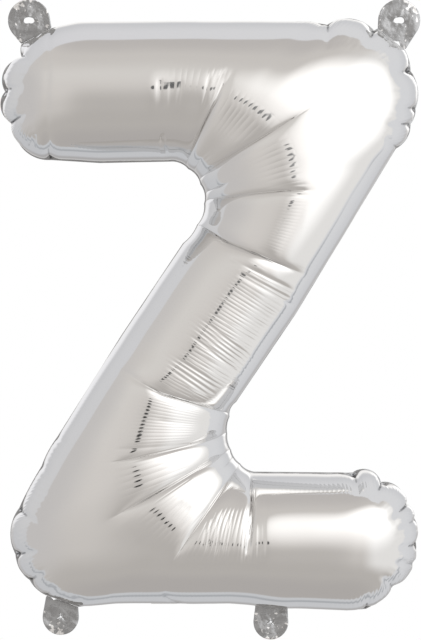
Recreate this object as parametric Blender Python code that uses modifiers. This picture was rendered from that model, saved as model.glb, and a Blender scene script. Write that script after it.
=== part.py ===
"""Silver foil balloon in the shape of the letter Z, blown up, with four hanging tabs and a filling neck.

Two foil sheets are welded together round the outline of the letter. Each sheet is a shell here, lofted
over sections that cross the strokes of the letter, and the weld is a thin flat rim between the two.
X runs along the bars of the letter, Y from its front (-Y) to its back (+Y), and Z up.
The origin lies midway between the punched holes of the two top tabs.
Blender's unit is the metre. The tables below are in millimetres.
"""

import math

import bmesh
import bpy
import numpy as np
from mathutils import Matrix, Vector

MM = 0.001

# Foil
FILM = 0.6 * MM  # wall of one sheet
WELD = 0.6 * MM  # the two sheets welded together: rim, tabs and neck
SEAT = 0.3 * MM  # gap between pieces that rest on each other
HINGE_GAP = 0.4 * MM  # gap along a fold line that turns
RIM_WIDTH = 2.2 * MM  # what shows of the weld
RIM_LAP = 1.2 * MM  # what the blown-up sheets cover of it

# Blown-up shape
HALF_DEPTH = 44.4 * MM  # from the weld to the front of a stroke
ROUNDNESS = 1.1  # 1 makes sections elliptic, more draws them in towards the weld
END_RADIUS = 46.0 * MM  # rounding of a sheet at the free end of a bar
# From the inner corner to the line where a sheet faces forward, at the first section of each zone
RIDGES = {
    "top fan 1": 43.4 * MM,
    "top fan 2": 48.0 * MM,
    "top fan 3": 53.0 * MM,
    "top fan 4": 54.0 * MM,
    "top fan 5": 45.0 * MM,
    "diagonal": 41.3 * MM,
    "foot fan 1": 41.1 * MM,
    "foot fan 2": 49.0 * MM,
    "foot fan 3": 56.0 * MM,
    "foot fan 4": 58.0 * MM,
    "foot fan 5": 56.0 * MM,
    "bottom bar": 41.2 * MM,
}
RIDGE_LIMIT = 0.58  # of a section's length

# Faces along the letter, zone by zone, and from one side of a stroke to the other
SPANS = {
    "top bar": 12,
    "top fan 1": 4,
    "top fan 2": 8,
    "top fan 3": 8,
    "top fan 4": 6,
    "top fan 5": 4,
    "diagonal": 10,
    "foot fan 1": 4,
    "foot fan 2": 6,
    "foot fan 3": 8,
    "foot fan 4": 8,
    "foot fan 5": 6,
    "bottom bar": 12,
}
ACROSS = 12
LOBE_SHARE = 3  # a run that bows out gets this many times the points of a straight one
LOBE_BOW = 1.0

# Depth at the first section of each zone, and at the right end, as a share of HALF_DEPTH
FULLNESS = (0.90, 0.97, 1.0, 1.02, 1.03, 1.0, 0.975, 0.975, 0.98, 1.01, 1.03, 1.01, 0.995, 0.90)

# Folds along the first sections of the fans, from the inner corner to just past the ridge: depth in mm
FOLDS = {
    "top fan 2": 1.8,
    "top fan 3": 2.2,
    "top fan 4": 2.2,
    "diagonal": 1.8,
    "foot fan 2": 1.8,
    "foot fan 3": 1.2,
    "foot fan 4": 2.0,
    "foot fan 5": 2.0,
    "bottom bar": 1.8,
}
FOLD_REACH = 0.35  # how far past the ridge a fold fades out, as a share of what is beyond the ridge

# The outline of the weld in four runs, in millimetres. A row is a knot, and holds the zone that starts
# there, x, z, how far the run to the next knot bows out in an arc, and the tab which that run carries.
# Knots between two bows are the puckers in the weld.
OVER_SIDE = (
    ("top bar", -119.4, -15.1, 0, "tab_top_left"),
    ("", -100.7, -5.1, 0, ""),
    ("", -83.1, -1.4, 0, ""),
    ("top fan 1", -27.3, -1.1, 0, ""),
    ("top fan 2", 31.9, -1.0, 0, ""),
    ("", 59.5, -0.9, 0, ""),
    ("", 70.1, -3.2, 5.6, ""),
    ("", 99.2, -6.6, 0, ""),
    ("", 101.4, -5.4, 0, "tab_top_right"),
    ("top fan 3", 118.4, -18.7, 0.8, ""),
    ("", 121.8, -31.7, 3.1, ""),
    ("", 124.9, -55.0, 1.0, ""),
    ("", 121.8, -64.6, 2.6, ""),
    ("", 112.8, -79.8, 0, ""),
    ("top fan 4", 97.5, -105.0, 0, ""),
    ("top fan 5", 64.2, -160.0, 0, ""),
    ("diagonal", 50.8, -182.1, 0, ""),
    ("foot fan 1", 13.6, -237.0, -1.4, ""),
    ("foot fan 2", 9.6, -246.0, -0.8, ""),
    ("foot fan 3", 8.2, -256.5, -0.8, ""),
    ("foot fan 4", 10.6, -266.5, -1.0, ""),
    ("foot fan 5", 16.2, -275.0, -1.0, ""),
    ("bottom bar", 24.8, -280.1, 0, ""),
    ("", 85.9, -280.7, 5.0, ""),
    ("", 103.5, -286.6, 5.0, ""),
    ("end", 117.8, -300.0, 0, ""),
)
UNDER_SIDE = (
    ("top bar", -124.0, -64.6, 7.2, ""),
    ("", -101.1, -86.9, 0, ""),
    ("", -70.7, -88.8, 0, ""),
    ("top fan 1", -27.3, -87.9, -1.5, ""),
    ("top fan 2", -16.0, -92.5, -1.5, ""),
    ("top fan 3", -8.5, -102.0, -1.5, ""),
    ("top fan 4", -6.2, -114.0, -1.5, ""),
    ("top fan 5", -10.5, -127.0, -1.0, ""),
    ("diagonal", -19.2, -138.4, 0, ""),
    ("foot fan 1", -57.0, -194.8, 0, ""),
    ("foot fan 2", -68.0, -212.3, 0, ""),
    ("", -97.3, -258.7, 0.8, ""),
    ("foot fan 3", -106.9, -276.6, 0.5, ""),
    ("", -120.9, -302.7, 4.2, ""),
    ("foot fan 4", -123.1, -331.2, 2.2, ""),
    ("", -114.4, -347.3, 1.2, ""),
    ("", -104.0, -356.8, 0, "tab_bottom_left"),
    ("", -84.1, -363.9, 0, ""),
    ("", -61.4, -361.4, 0, ""),
    ("foot fan 5", -42.2, -361.1, 0, ""),
    ("", 8.7, -361.1, 0, ""),
    ("bottom bar", 25.7, -362.5, 0, "tab_bottom_right"),
    ("", 45.6, -364.2, 0, ""),
    ("", 81.2, -365.9, 0, ""),
    ("", 94.2, -365.3, 1.2, ""),
    ("", 111.0, -351.0, 3.0, ""),
    ("end", 122.5, -335.5, 0, ""),
)
LEFT_END = (
    ("left end", -124.0, -64.6, 5.4, ""),
    ("", -129.6, -44.5, 6.4, ""),
    ("", -119.0, -23.7, 0.8, ""),
    ("end", -119.4, -15.1, 0, ""),
)
RIGHT_END = (
    ("right end", 122.5, -335.5, 1.5, ""),
    ("", 124.9, -323.5, 1.8, ""),
    ("", 124.0, -308.6, 1.4, ""),
    ("end", 117.8, -300.0, 0, ""),
)

# Notches in the sheets between the lobes of the weld: where, x and z at the weld, x and z where each one
# fades out, depth at the weld
NOTCHES = (
    ("left end", -119.3, -23.6, -108.5, -29.0, 3.0),
    ("", -130.2, -44.5, -112.0, -45.0, 3.0),
    ("", -124.6, -64.9, -107.5, -57.0, 3.6),
    ("", -101.3, -87.4, -99.0, -70.0, 2.4),
    ("top right corner", 70.3, -2.4, 68.5, -24.0, 3.0),
    ("", 99.6, -5.4, 92.0, -23.0, 3.4),
    ("", 122.4, -31.2, 106.0, -37.0, 3.0),
    ("", 125.6, -55.0, 108.0, -56.0, 2.4),
    ("", 122.3, -64.9, 102.0, -65.2, 2.6),
    ("", 113.4, -80.2, 101.0, -73.5, 2.2),
    ("foot corner", -121.6, -302.3, -103.0, -312.0, 3.0),
    ("", -123.8, -331.4, -104.0, -325.5, 3.4),
    ("", -115.0, -347.8, -100.0, -336.0, 2.6),
    ("right end", 85.9, -280.2, 86.4, -296.0, 3.0),
    ("", 103.8, -286.0, 94.0, -299.0, 3.2),
    ("", 118.5, -299.6, 103.0, -309.5, 3.0),
    ("", 125.5, -323.6, 106.0, -324.5, 2.6),
    ("", 111.4, -351.6, 99.0, -339.0, 3.0),
    ("", 94.4, -366.0, 91.0, -350.0, 2.6),
)
NOTCH_WIDTH = 3.5  # half width, mm

# Tabs: name, x and z of the head's centre, radius of the head, radius of the punched hole, all in millimetres
TABS = (
    ("tab_top_left", -114.7, -0.4, 13.0, 2.5),
    ("tab_top_right", 114.7, -0.4, 13.0, 2.5),
    ("tab_bottom_left", -95.0, -370.0, 11.2, 1.8),
    ("tab_bottom_right", 35.2, -373.2, 10.8, 1.8),
)
HEAD_POINTS = 26
HOLE_POINTS = 14
DENT_LENGTH = 9.5 * MM  # half length of the dent in both sheets where a tab's root pulls on them
DENT_HEIGHT = 8.0 * MM
DENT_SHARE = 0.55  # of the depth that it takes away

# Filling neck: a flat tail that curls up behind the bottom bar from its fold line under the weld
NECK_X = -31.0 * MM
NECK_SEAT = -361.1 * MM  # the level stretch of the weld above it
NECK_WIDTH = 17.0 * MM
NECK_CURL = 46.0 * MM  # radius that it curls to
NECK_TURN = math.radians(48)
NECK_POINTS = 12

# Colour, roughness
SILVER = ((0.80, 0.79, 0.78, 1.0), 0.16)
CREASED_SILVER = ((0.68, 0.68, 0.69, 1.0), 0.24)


def bowed_point(start, end, bow, share, outward):
    """The point at a share of the arc from start to end, which bows out by bow at its middle."""
    chord = end - start
    length = np.hypot(*chord)
    across = np.array([-chord[1], chord[0]]) / length * outward
    if not bow:
        return start + chord * share
    half = 2 * math.atan(2 * abs(bow) / length)
    radius = length / 2 / math.sin(half)
    angle = half * (2 * share - 1)
    rise = radius * (math.cos(angle) - math.cos(half))
    along = radius * math.sin(angle)
    return (start + end) / 2 + chord / length * along + across * math.copysign(rise, bow)


def arc_length(start, end, bow):
    chord = float(np.hypot(*(end - start)))
    if not bow:
        return chord
    half = 2 * math.atan(2 * abs(bow) / chord)
    return chord * half / math.sin(half)


def sample_run(knots, shares, outward):
    """Points along a run of knots at the given shares of its length. The nearest one moves to each knot."""
    places = [np.array([x, z]) for _, x, z, _, _ in knots]
    lengths = [arc_length(a, b, row[3]) for a, b, row in zip(places, places[1:], knots)]
    closeness = [LOBE_SHARE if row[3] > LOBE_BOW else 1 for row in knots[:-1]]
    reached = np.concatenate([[0], np.cumsum(np.array(lengths) * closeness)])
    targets = np.array(shares) * reached[-1]
    for at in reached[1:-1]:
        nearest = 1 + int(np.argmin(abs(targets[1:-1] - at)))
        targets[nearest] = at
    points = []
    for target in targets:
        stretch = min(int(np.searchsorted(reached, target, side="right")) - 1, len(lengths) - 1)
        share = (target - reached[stretch]) / (reached[stretch + 1] - reached[stretch])
        points.append(
            bowed_point(places[stretch], places[stretch + 1], knots[stretch][3], share, outward)
        )
    return np.array(points) * MM


def zone_shares(zone, spans):
    """Even shares, or closer together towards the end of a bar, where the sheet turns steep."""
    even = np.linspace(0, 1, spans + 1)
    if zone == "top bar":
        return 1 - np.cos(even * math.pi / 2)
    if zone == "bottom bar":
        return np.sin(even * math.pi / 2)
    return even


def sample_side(rows, outward):
    """A side of the letter from its left end to its right end, in as many points as the sections."""
    starts = [i for i, row in enumerate(rows) if row[0]]
    points = []
    for first, last in zip(starts, starts[1:]):
        zone = rows[first][0]
        run = sample_run(rows[first : last + 1], zone_shares(zone, SPANS[zone]), outward)
        points.extend(run if not points else run[1:])
    return np.array(points)


def outward_normals(loop):
    """Outward directions at the points of a clockwise loop."""
    ahead = np.roll(loop, -1, axis=0) - loop
    ahead /= np.linalg.norm(ahead, axis=1)[:, None]
    turn = ahead + np.roll(ahead, 1, axis=0)
    turn /= np.linalg.norm(turn, axis=1)[:, None]
    return np.column_stack([-turn[:, 1], turn[:, 0]])


def zone_station(zone):
    """Number of the section that a zone starts with."""
    names = list(SPANS)
    return sum(SPANS[name] for name in names[: names.index(zone)])


def ridge_share(over, under):
    """Where each section is deepest: in its middle, or in a fan about a tube's radius from the inner corner."""
    width = np.linalg.norm(over - under, axis=1)
    stations = [zone_station(zone) for zone in RIDGES]
    reach = np.interp(np.arange(len(over)), stations, list(RIDGES.values())) / width
    share = np.full(len(over), 0.5)
    top = slice(zone_station("top fan 1"), zone_station("diagonal"))
    foot = slice(zone_station("foot fan 1"), zone_station("bottom bar"))
    share[top] = np.minimum(reach[top], RIDGE_LIMIT)
    share[foot] = 1 - np.minimum(reach[foot], RIDGE_LIMIT)
    padded = np.concatenate([share[:1], share, share[-1:]])
    return (padded[:-2] + padded[1:-1] + padded[2:]) / 3


def end_roundness(grid):
    """Share of its depth that each section has, from none at a free end to all of it inside a bar."""
    share = np.ones(len(grid))
    middle = grid.mean(axis=1)
    last = len(grid) - 1
    for end, inner in ((0, SPANS["top bar"]), (last, last - SPANS["bottom bar"])):
        for i in range(min(end, inner), max(end, inner) + 1):
            reach = min(np.hypot(*(middle[i] - middle[end])) / END_RADIUS, 1)
            share[i] = math.sqrt(1 - (1 - reach) ** 2)
    return share


def fold_drop(angle):
    """How deep the folds are at each point of the grid."""
    drop = np.zeros((sum(SPANS.values()) + 1, len(angle)))
    for zone, depth in FOLDS.items():
        from_ridge = -np.cos(angle)
        if zone.startswith("foot") or zone == "bottom bar":
            from_ridge = -from_ridge
        fade = np.where(from_ridge < 0, 1 + 0.6 * from_ridge, 1 - from_ridge / FOLD_REACH)
        drop[zone_station(zone)] = depth * MM * np.clip(fade, 0, 1)
    return drop


def notch_drop(grid):
    """How deep the notches are at each point of the grid."""
    drop = np.zeros(grid.shape[:2])
    for _, x0, z0, x1, z1, depth in NOTCHES:
        start = np.array([x0, z0]) * MM
        ahead = np.array([x1, z1]) * MM - start
        offset = grid - start
        share = np.clip(offset @ ahead / (ahead @ ahead), 0, 1)
        aside = np.linalg.norm(offset - share[..., None] * ahead, axis=2)
        drop = np.maximum(drop, depth * MM * (1 - share) * np.exp(-((aside / (NOTCH_WIDTH * MM)) ** 2)))
    return drop


def dent_share(grid):
    """Share of the depth that is lost where the tabs pull on a sheet."""
    lost = np.zeros(grid.shape[:2])
    for name, *_ in TABS:
        start, end = root_of(name)
        along = (end - start) / np.hypot(*(end - start))
        across = np.array([-along[1], along[0]])
        offset = grid - (start + end) / 2
        reach = (offset @ along / DENT_LENGTH) ** 2 + (offset @ across / DENT_HEIGHT) ** 2
        lost = np.maximum(lost, DENT_SHARE / (1 + reach**4))
    return lost


def sheet_depth(grid, angle):
    """Distance of the blown-up sheet from the plane of the weld."""
    starts = [zone_station(zone) for zone in SPANS] + [len(grid) - 1]
    fullness = np.interp(np.arange(len(grid)), starts, FULLNESS)
    roundness = np.sin(angle)[None, :] * end_roundness(grid)[:, None]
    depth = HALF_DEPTH * fullness[:, None] * roundness**ROUNDNESS * (1 - dent_share(grid))
    return depth - (fold_drop(angle) + notch_drop(grid)) * roundness


def section_points(over, under, left, right, angle):
    """Grid of points inside the outline: straight sections, and a blend to the end's own line in a bar."""
    ridge = ridge_share(over, under)[:, None]
    from_ridge = -np.cos(angle)[None, :]
    share = np.where(from_ridge < 0, ridge * (1 + from_ridge), ridge + (1 - ridge) * from_ridge)[:, :, None]
    grid = under[:, None, :] * (1 - share) + over[:, None, :] * share
    last = len(over) - 1
    for end, inner, line in ((0, SPANS["top bar"], left), (last, last - SPANS["bottom bar"], right)):
        straight = grid[end].copy()
        for i in range(min(end, inner), max(end, inner) + 1):
            nearness = 1 - abs(i - end) / abs(inner - end)
            grid[i] += (line - straight) * nearness**2
    return grid


def material(name, colour, roughness):
    made = bpy.data.materials.new(name)
    made.use_nodes = True
    shader = made.node_tree.nodes["Principled BSDF"]
    shader.inputs["Base Color"].default_value = colour
    shader.inputs["Roughness"].default_value = roughness
    shader.inputs["Metallic"].default_value = 1.0
    return made


def add_mesh(name, vertices, faces, collection, finish):
    mesh = bpy.data.meshes.new(name)
    mesh.from_pydata(vertices, [], faces)
    mesh.shade_smooth()
    piece = bpy.data.objects.new(name, mesh)
    piece.data.materials.append(material(name, *finish))
    collection.objects.link(piece)
    return piece


def thicken(piece, thickness, offset):
    wall = piece.modifiers.new("wall", "SOLIDIFY")
    wall.thickness = thickness
    wall.offset = offset


def add_sheet(name, grid, angle, side, collection):
    """One blown-up sheet: side is -1 for the front and 1 for the back."""
    stations, rows, _ = grid.shape
    flat = grid.reshape(-1, 2)
    depth = sheet_depth(grid, angle)
    depth[0], depth[-1] = 0, 0
    depth[:, 0], depth[:, -1] = 0, 0
    lift = side * (depth.ravel() + WELD / 2 + SEAT)
    vertices = [(x, y, z) for (x, z), y in zip(flat.tolist(), lift.tolist())]
    faces = []
    for i in range(stations - 1):
        for j in range(rows - 1):
            here, beyond = i * rows + j, (i + 1) * rows + j
            face = (here, beyond, beyond + 1, here + 1)
            faces.append(face if side < 0 else face[::-1])
    sheet = add_mesh(name, vertices, faces, collection, SILVER)
    thicken(sheet, FILM, -1)
    return sheet


def add_rim(outline, collection):
    """The weld: a flat band that follows the outline, partly under the sheets."""
    inner = outline - outward_normals(outline) * (RIM_WIDTH + RIM_LAP)
    count = len(outline)
    vertices = [(x, 0, z) for x, z in np.concatenate([outline, inner]).tolist()]
    faces = []
    for i in range(count):
        following = (i + 1) % count
        faces.append((i, following, count + following, count + i))
    rim = add_mesh("weld_rim", vertices, faces, collection, SILVER)
    thicken(rim, WELD, 0)
    return rim


def add_flat(name, outlines, thickness, turn, place, collection, finish):
    """A flat piece from closed outlines, the first its edge and the others holes, extruded both ways."""
    curve = bpy.data.curves.new(name, "CURVE")
    curve.dimensions = "2D"
    curve.fill_mode = "BOTH"
    curve.extrude = thickness / 2
    for outline in outlines:
        spline = curve.splines.new("POLY")
        spline.points.add(len(outline) - 1)
        for point, (x, y) in zip(spline.points, outline):
            point.co = (x, y, 0, 1)
        spline.use_cyclic_u = True
    drawn = bpy.data.objects.new(name + "_outline", curve)
    collection.objects.link(drawn)
    bpy.context.view_layer.update()
    mesh = bpy.data.meshes.new_from_object(drawn.evaluated_get(bpy.context.evaluated_depsgraph_get()))
    bpy.data.objects.remove(drawn)
    welded = bmesh.new()
    welded.from_mesh(mesh)
    bmesh.ops.remove_doubles(welded, verts=welded.verts, dist=0.01 * MM)
    bmesh.ops.recalc_face_normals(welded, faces=welded.faces)
    welded.to_mesh(mesh)
    welded.free()
    mesh.transform(turn)
    mesh.name = name
    piece = bpy.data.objects.new(name, mesh)
    piece.data.materials.clear()
    piece.data.materials.append(material(name, *finish))
    piece.location = place
    collection.objects.link(piece)
    return piece


def tangent_angle(point, centre, radius, side):
    """Direction from the centre of a circle to where the line from a point touches it."""
    away = point - centre
    return math.atan2(away[1], away[0]) + side * math.acos(radius / np.hypot(*away))


def root_of(tab):
    """The straight stretch of the weld that carries a tab, from left to right seen from the front."""
    for rows in (OVER_SIDE, UNDER_SIDE):
        for row, following in zip(rows, rows[1:]):
            if row[4] == tab:
                return np.array(row[1:3]) * MM, np.array(following[1:3]) * MM
    raise ValueError("no stretch of the weld carries " + tab)


def add_tab(row, collection):
    """A round, punched head on a root that is as wide as the stretch that carries it."""
    name, x, z, head_radius, hole_radius = row
    centre = np.array([x, z]) * MM
    start, end = root_of(name)
    along = (end - start) / np.hypot(*(end - start))
    out = np.array([-along[1], along[0]])
    out *= math.copysign(1, (centre - start) @ out)
    start, end = start + out * HINGE_GAP, end + out * HINGE_GAP
    hinge = (start + end) / 2
    side = math.copysign(1, along[0] * out[1] - along[1] * out[0])
    first = tangent_angle(end, centre, head_radius * MM, side)
    last = tangent_angle(start, centre, head_radius * MM, -side)
    sweep = (last - first) * side % (2 * math.pi) * side
    angles = [first + sweep * i / HEAD_POINTS for i in range(HEAD_POINTS + 1)]
    head = [centre + head_radius * MM * np.array([math.cos(a), math.sin(a)]) for a in angles]
    turns = [2 * math.pi * i / HOLE_POINTS for i in range(HOLE_POINTS)]
    hole = [centre + hole_radius * MM * np.array([math.cos(a), math.sin(a)]) for a in turns]
    outlines = [[tuple(p - hinge) for p in outline] for outline in ([start, end, *head], hole)]
    stand_up = Matrix.Rotation(math.pi / 2, 4, "X")
    place = Vector((hinge[0], 0, hinge[1]))
    return add_flat(name, outlines, WELD, stand_up, place, collection, CREASED_SILVER)


def add_neck(collection):
    """The neck's edge-on outline, a bent strip, drawn out to its width along X."""
    fold_line = NECK_SEAT - HINGE_GAP - WELD / 2
    turns = [NECK_TURN * i / NECK_POINTS for i in range(NECK_POINTS + 1)]

    def arc(radius):
        return [(radius * math.sin(a), NECK_CURL - radius * math.cos(a)) for a in turns]

    strip = arc(NECK_CURL + WELD / 2) + arc(NECK_CURL - WELD / 2)[::-1]
    # The outline's own X and Y become Y and Z, and it is drawn out along X
    turn = Matrix(((0, 0, 1, 0), (1, 0, 0, 0), (0, 1, 0, 0), (0, 0, 0, 1)))
    place = Vector((NECK_X, 0, fold_line))
    return add_flat("fill_neck", [strip], NECK_WIDTH, turn, place, collection, SILVER)


def clear_scene():
    for old in list(bpy.data.objects):
        bpy.data.objects.remove(old)


def build():
    clear_scene()
    parts = bpy.data.collections.new("letter_foil_balloon")
    bpy.context.scene.collection.children.link(parts)

    angle = np.linspace(0, math.pi, ACROSS + 1)
    across = (1 - np.cos(angle)) / 2
    over = sample_side(OVER_SIDE, 1)
    under = sample_side(UNDER_SIDE, -1)
    left = sample_run(LEFT_END, across, 1)
    right = sample_run(RIGHT_END, across, -1)
    outline = np.concatenate([over, right[-2:0:-1], under[::-1], left[1:-1]])

    edge = outline - outward_normals(outline) * RIM_WIDTH
    stations = len(over)
    over_edge = edge[:stations]
    right_edge = edge[stations - 1 : stations + ACROSS][::-1]
    under_edge = edge[stations + ACROSS - 1 : 2 * stations + ACROSS - 1][::-1]
    left_edge = np.concatenate([edge[2 * stations + ACROSS - 2 :], edge[:1]])
    grid = section_points(over_edge, under_edge, left_edge, right_edge, angle)

    add_sheet("front_sheet", grid, angle, -1, parts)
    add_sheet("back_sheet", grid, angle, 1, parts)
    add_rim(outline, parts)
    for row in TABS:
        add_tab(row, parts)
    add_neck(parts)


build()
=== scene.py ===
"""Looks of a silver foil balloon in the shape of the letter Z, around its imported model.

The two foil sheets are grown from the outline of the weld: sections cross the strokes of the letter, the
film gets the spare length that its welding leaves it, and it is then relaxed under the pressure inside.
X runs along the bars of the letter, Y from its front (-Y) to its back (+Y), and Z up, in metres.
The tables of the outline are in millimetres.
"""

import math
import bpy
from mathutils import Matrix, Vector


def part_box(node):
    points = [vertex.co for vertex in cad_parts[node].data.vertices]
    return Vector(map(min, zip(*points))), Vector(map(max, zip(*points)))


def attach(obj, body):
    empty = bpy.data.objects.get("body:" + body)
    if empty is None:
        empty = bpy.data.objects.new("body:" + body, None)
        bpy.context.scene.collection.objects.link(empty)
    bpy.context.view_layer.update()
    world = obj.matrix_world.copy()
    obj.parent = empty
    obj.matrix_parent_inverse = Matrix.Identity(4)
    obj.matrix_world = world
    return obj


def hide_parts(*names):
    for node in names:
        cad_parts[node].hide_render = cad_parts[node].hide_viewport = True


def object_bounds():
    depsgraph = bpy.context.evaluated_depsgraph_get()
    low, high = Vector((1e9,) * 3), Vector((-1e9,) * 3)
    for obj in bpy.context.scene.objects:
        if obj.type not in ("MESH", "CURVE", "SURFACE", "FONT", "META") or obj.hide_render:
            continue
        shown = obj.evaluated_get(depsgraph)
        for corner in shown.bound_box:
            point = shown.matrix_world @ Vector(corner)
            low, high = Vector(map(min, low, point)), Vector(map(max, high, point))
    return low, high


bl_info = {
    "name": "Letter foil balloon",
    "version": (1, 0, 0),
    "blender": (4, 5, 0),
    "location": "View3D > Sidebar > Foil balloon",
    "description": "Blown-up foil sheets, weld, tabs, neck and studio of a letter foil balloon",
    "category": "Object",
}

import bpy
import numpy as np
from mathutils import Vector

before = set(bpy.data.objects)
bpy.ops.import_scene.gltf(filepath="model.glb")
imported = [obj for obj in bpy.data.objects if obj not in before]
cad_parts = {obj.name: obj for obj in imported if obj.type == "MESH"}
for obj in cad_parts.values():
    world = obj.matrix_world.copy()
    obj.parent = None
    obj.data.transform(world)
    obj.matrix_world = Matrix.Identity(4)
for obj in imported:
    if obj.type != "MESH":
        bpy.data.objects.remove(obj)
CAD_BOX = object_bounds()

MM = 0.001

FRONT_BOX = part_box("front_sheet")
SEAM_LEVEL = -FRONT_BOX[1].y  # how far each sheet's edge lies from the middle of the weld
FULLEST = 1.03  # the deepest section, as a share of HALF_DEPTH
HALF_DEPTH = (-FRONT_BOX[0].y - SEAM_LEVEL) / FULLEST

# The outline of the weld in four runs, in millimetres. A row is a knot, and holds the zone that starts
# there, x, z, and how far the run to the next knot bows out in an arc. Zones pair the two sides, so that
# a zone's first section joins its two knots: the sections of the fans lie along the photographed creases.
OVER_SIDE = (
    ("top bar", -119.4, -15.1, 0),
    ("", -100.7, -5.1, 0),
    ("", -83.1, -1.4, 0),
    ("top fan 1", -27.3, -1.1, 0),
    ("top fan 2", 31.9, -1.0, 0),
    ("", 59.5, -0.9, 0),
    ("", 70.1, -3.2, 5.6),
    ("", 99.2, -6.6, 0),
    ("", 101.4, -5.4, 0),
    ("top fan 3", 118.4, -18.7, 0.8),
    ("", 121.8, -31.7, 3.1),
    ("", 124.9, -55.0, 1.0),
    ("", 121.8, -64.6, 2.6),
    ("", 112.8, -79.8, 0),
    ("top fan 4", 97.5, -105.0, 0),
    ("top fan 5", 64.2, -160.0, 0),
    ("diagonal", 50.8, -182.1, 0),
    ("foot fan 1", 13.6, -237.0, -1.4),
    ("foot fan 2", 9.6, -246.0, -0.8),
    ("foot fan 3", 8.2, -256.5, -0.8),
    ("foot fan 4", 10.6, -266.5, -1.0),
    ("foot fan 5", 16.2, -275.0, -1.0),
    ("bottom bar", 24.8, -280.1, 0),
    ("", 85.9, -280.7, 5.0),
    ("", 103.5, -286.6, 5.0),
    ("end", 117.8, -300.0, 0),
)
UNDER_SIDE = (
    ("top bar", -124.0, -64.6, 7.2),
    ("", -101.1, -86.9, 0),
    ("", -70.7, -88.8, 0),
    ("top fan 1", -27.3, -87.9, -1.5),
    ("top fan 2", -16.0, -92.5, -1.5),
    ("top fan 3", -8.5, -102.0, -1.5),
    ("top fan 4", -6.2, -114.0, -1.5),
    ("top fan 5", -10.5, -127.0, -1.0),
    ("diagonal", -19.2, -138.4, 0),
    ("foot fan 1", -57.0, -194.8, 0),
    ("foot fan 2", -68.0, -212.3, 0),
    ("", -97.3, -258.7, 0.8),
    ("foot fan 3", -106.9, -276.6, 0.5),
    ("", -120.9, -302.7, 4.2),
    ("foot fan 4", -123.1, -331.2, 2.2),
    ("", -114.4, -347.3, 1.2),
    ("", -104.0, -356.8, 0),
    ("", -84.1, -363.9, 0),
    ("", -61.4, -361.4, 0),
    ("foot fan 5", -42.2, -361.1, 0),
    ("", 8.7, -361.1, 0),
    ("bottom bar", 25.7, -362.5, 0),
    ("", 45.6, -364.2, 0),
    ("", 81.2, -365.9, 0),
    ("", 94.2, -365.3, 1.2),
    ("", 111.0, -351.0, 3.0),
    ("end", 122.5, -335.5, 0),
)
LEFT_END = (
    ("left end", -124.0, -64.6, 5.4),
    ("", -129.6, -44.5, 6.4),
    ("", -119.0, -23.7, 0.8),
    ("end", -119.4, -15.1, 0),
)
RIGHT_END = (
    ("right end", 122.5, -335.5, 1.5),
    ("", 124.9, -323.5, 1.8),
    ("", 124.0, -308.6, 1.4),
    ("end", 117.8, -300.0, 0),
)

# Zones in order: sections between this zone's first one and the next zone's
SPANS = {
    "top bar": 84,
    "top fan 1": 36,
    "top fan 2": 84,
    "top fan 3": 92,
    "top fan 4": 60,
    "top fan 5": 30,
    "diagonal": 96,
    "foot fan 1": 24,
    "foot fan 2": 60,
    "foot fan 3": 60,
    "foot fan 4": 92,
    "foot fan 5": 70,
    "bottom bar": 84,
}
ROWS = 100  # faces from one side of a stroke to the other
RIM_WIDTH = 0.8  # of the weld that shows, mm

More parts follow.
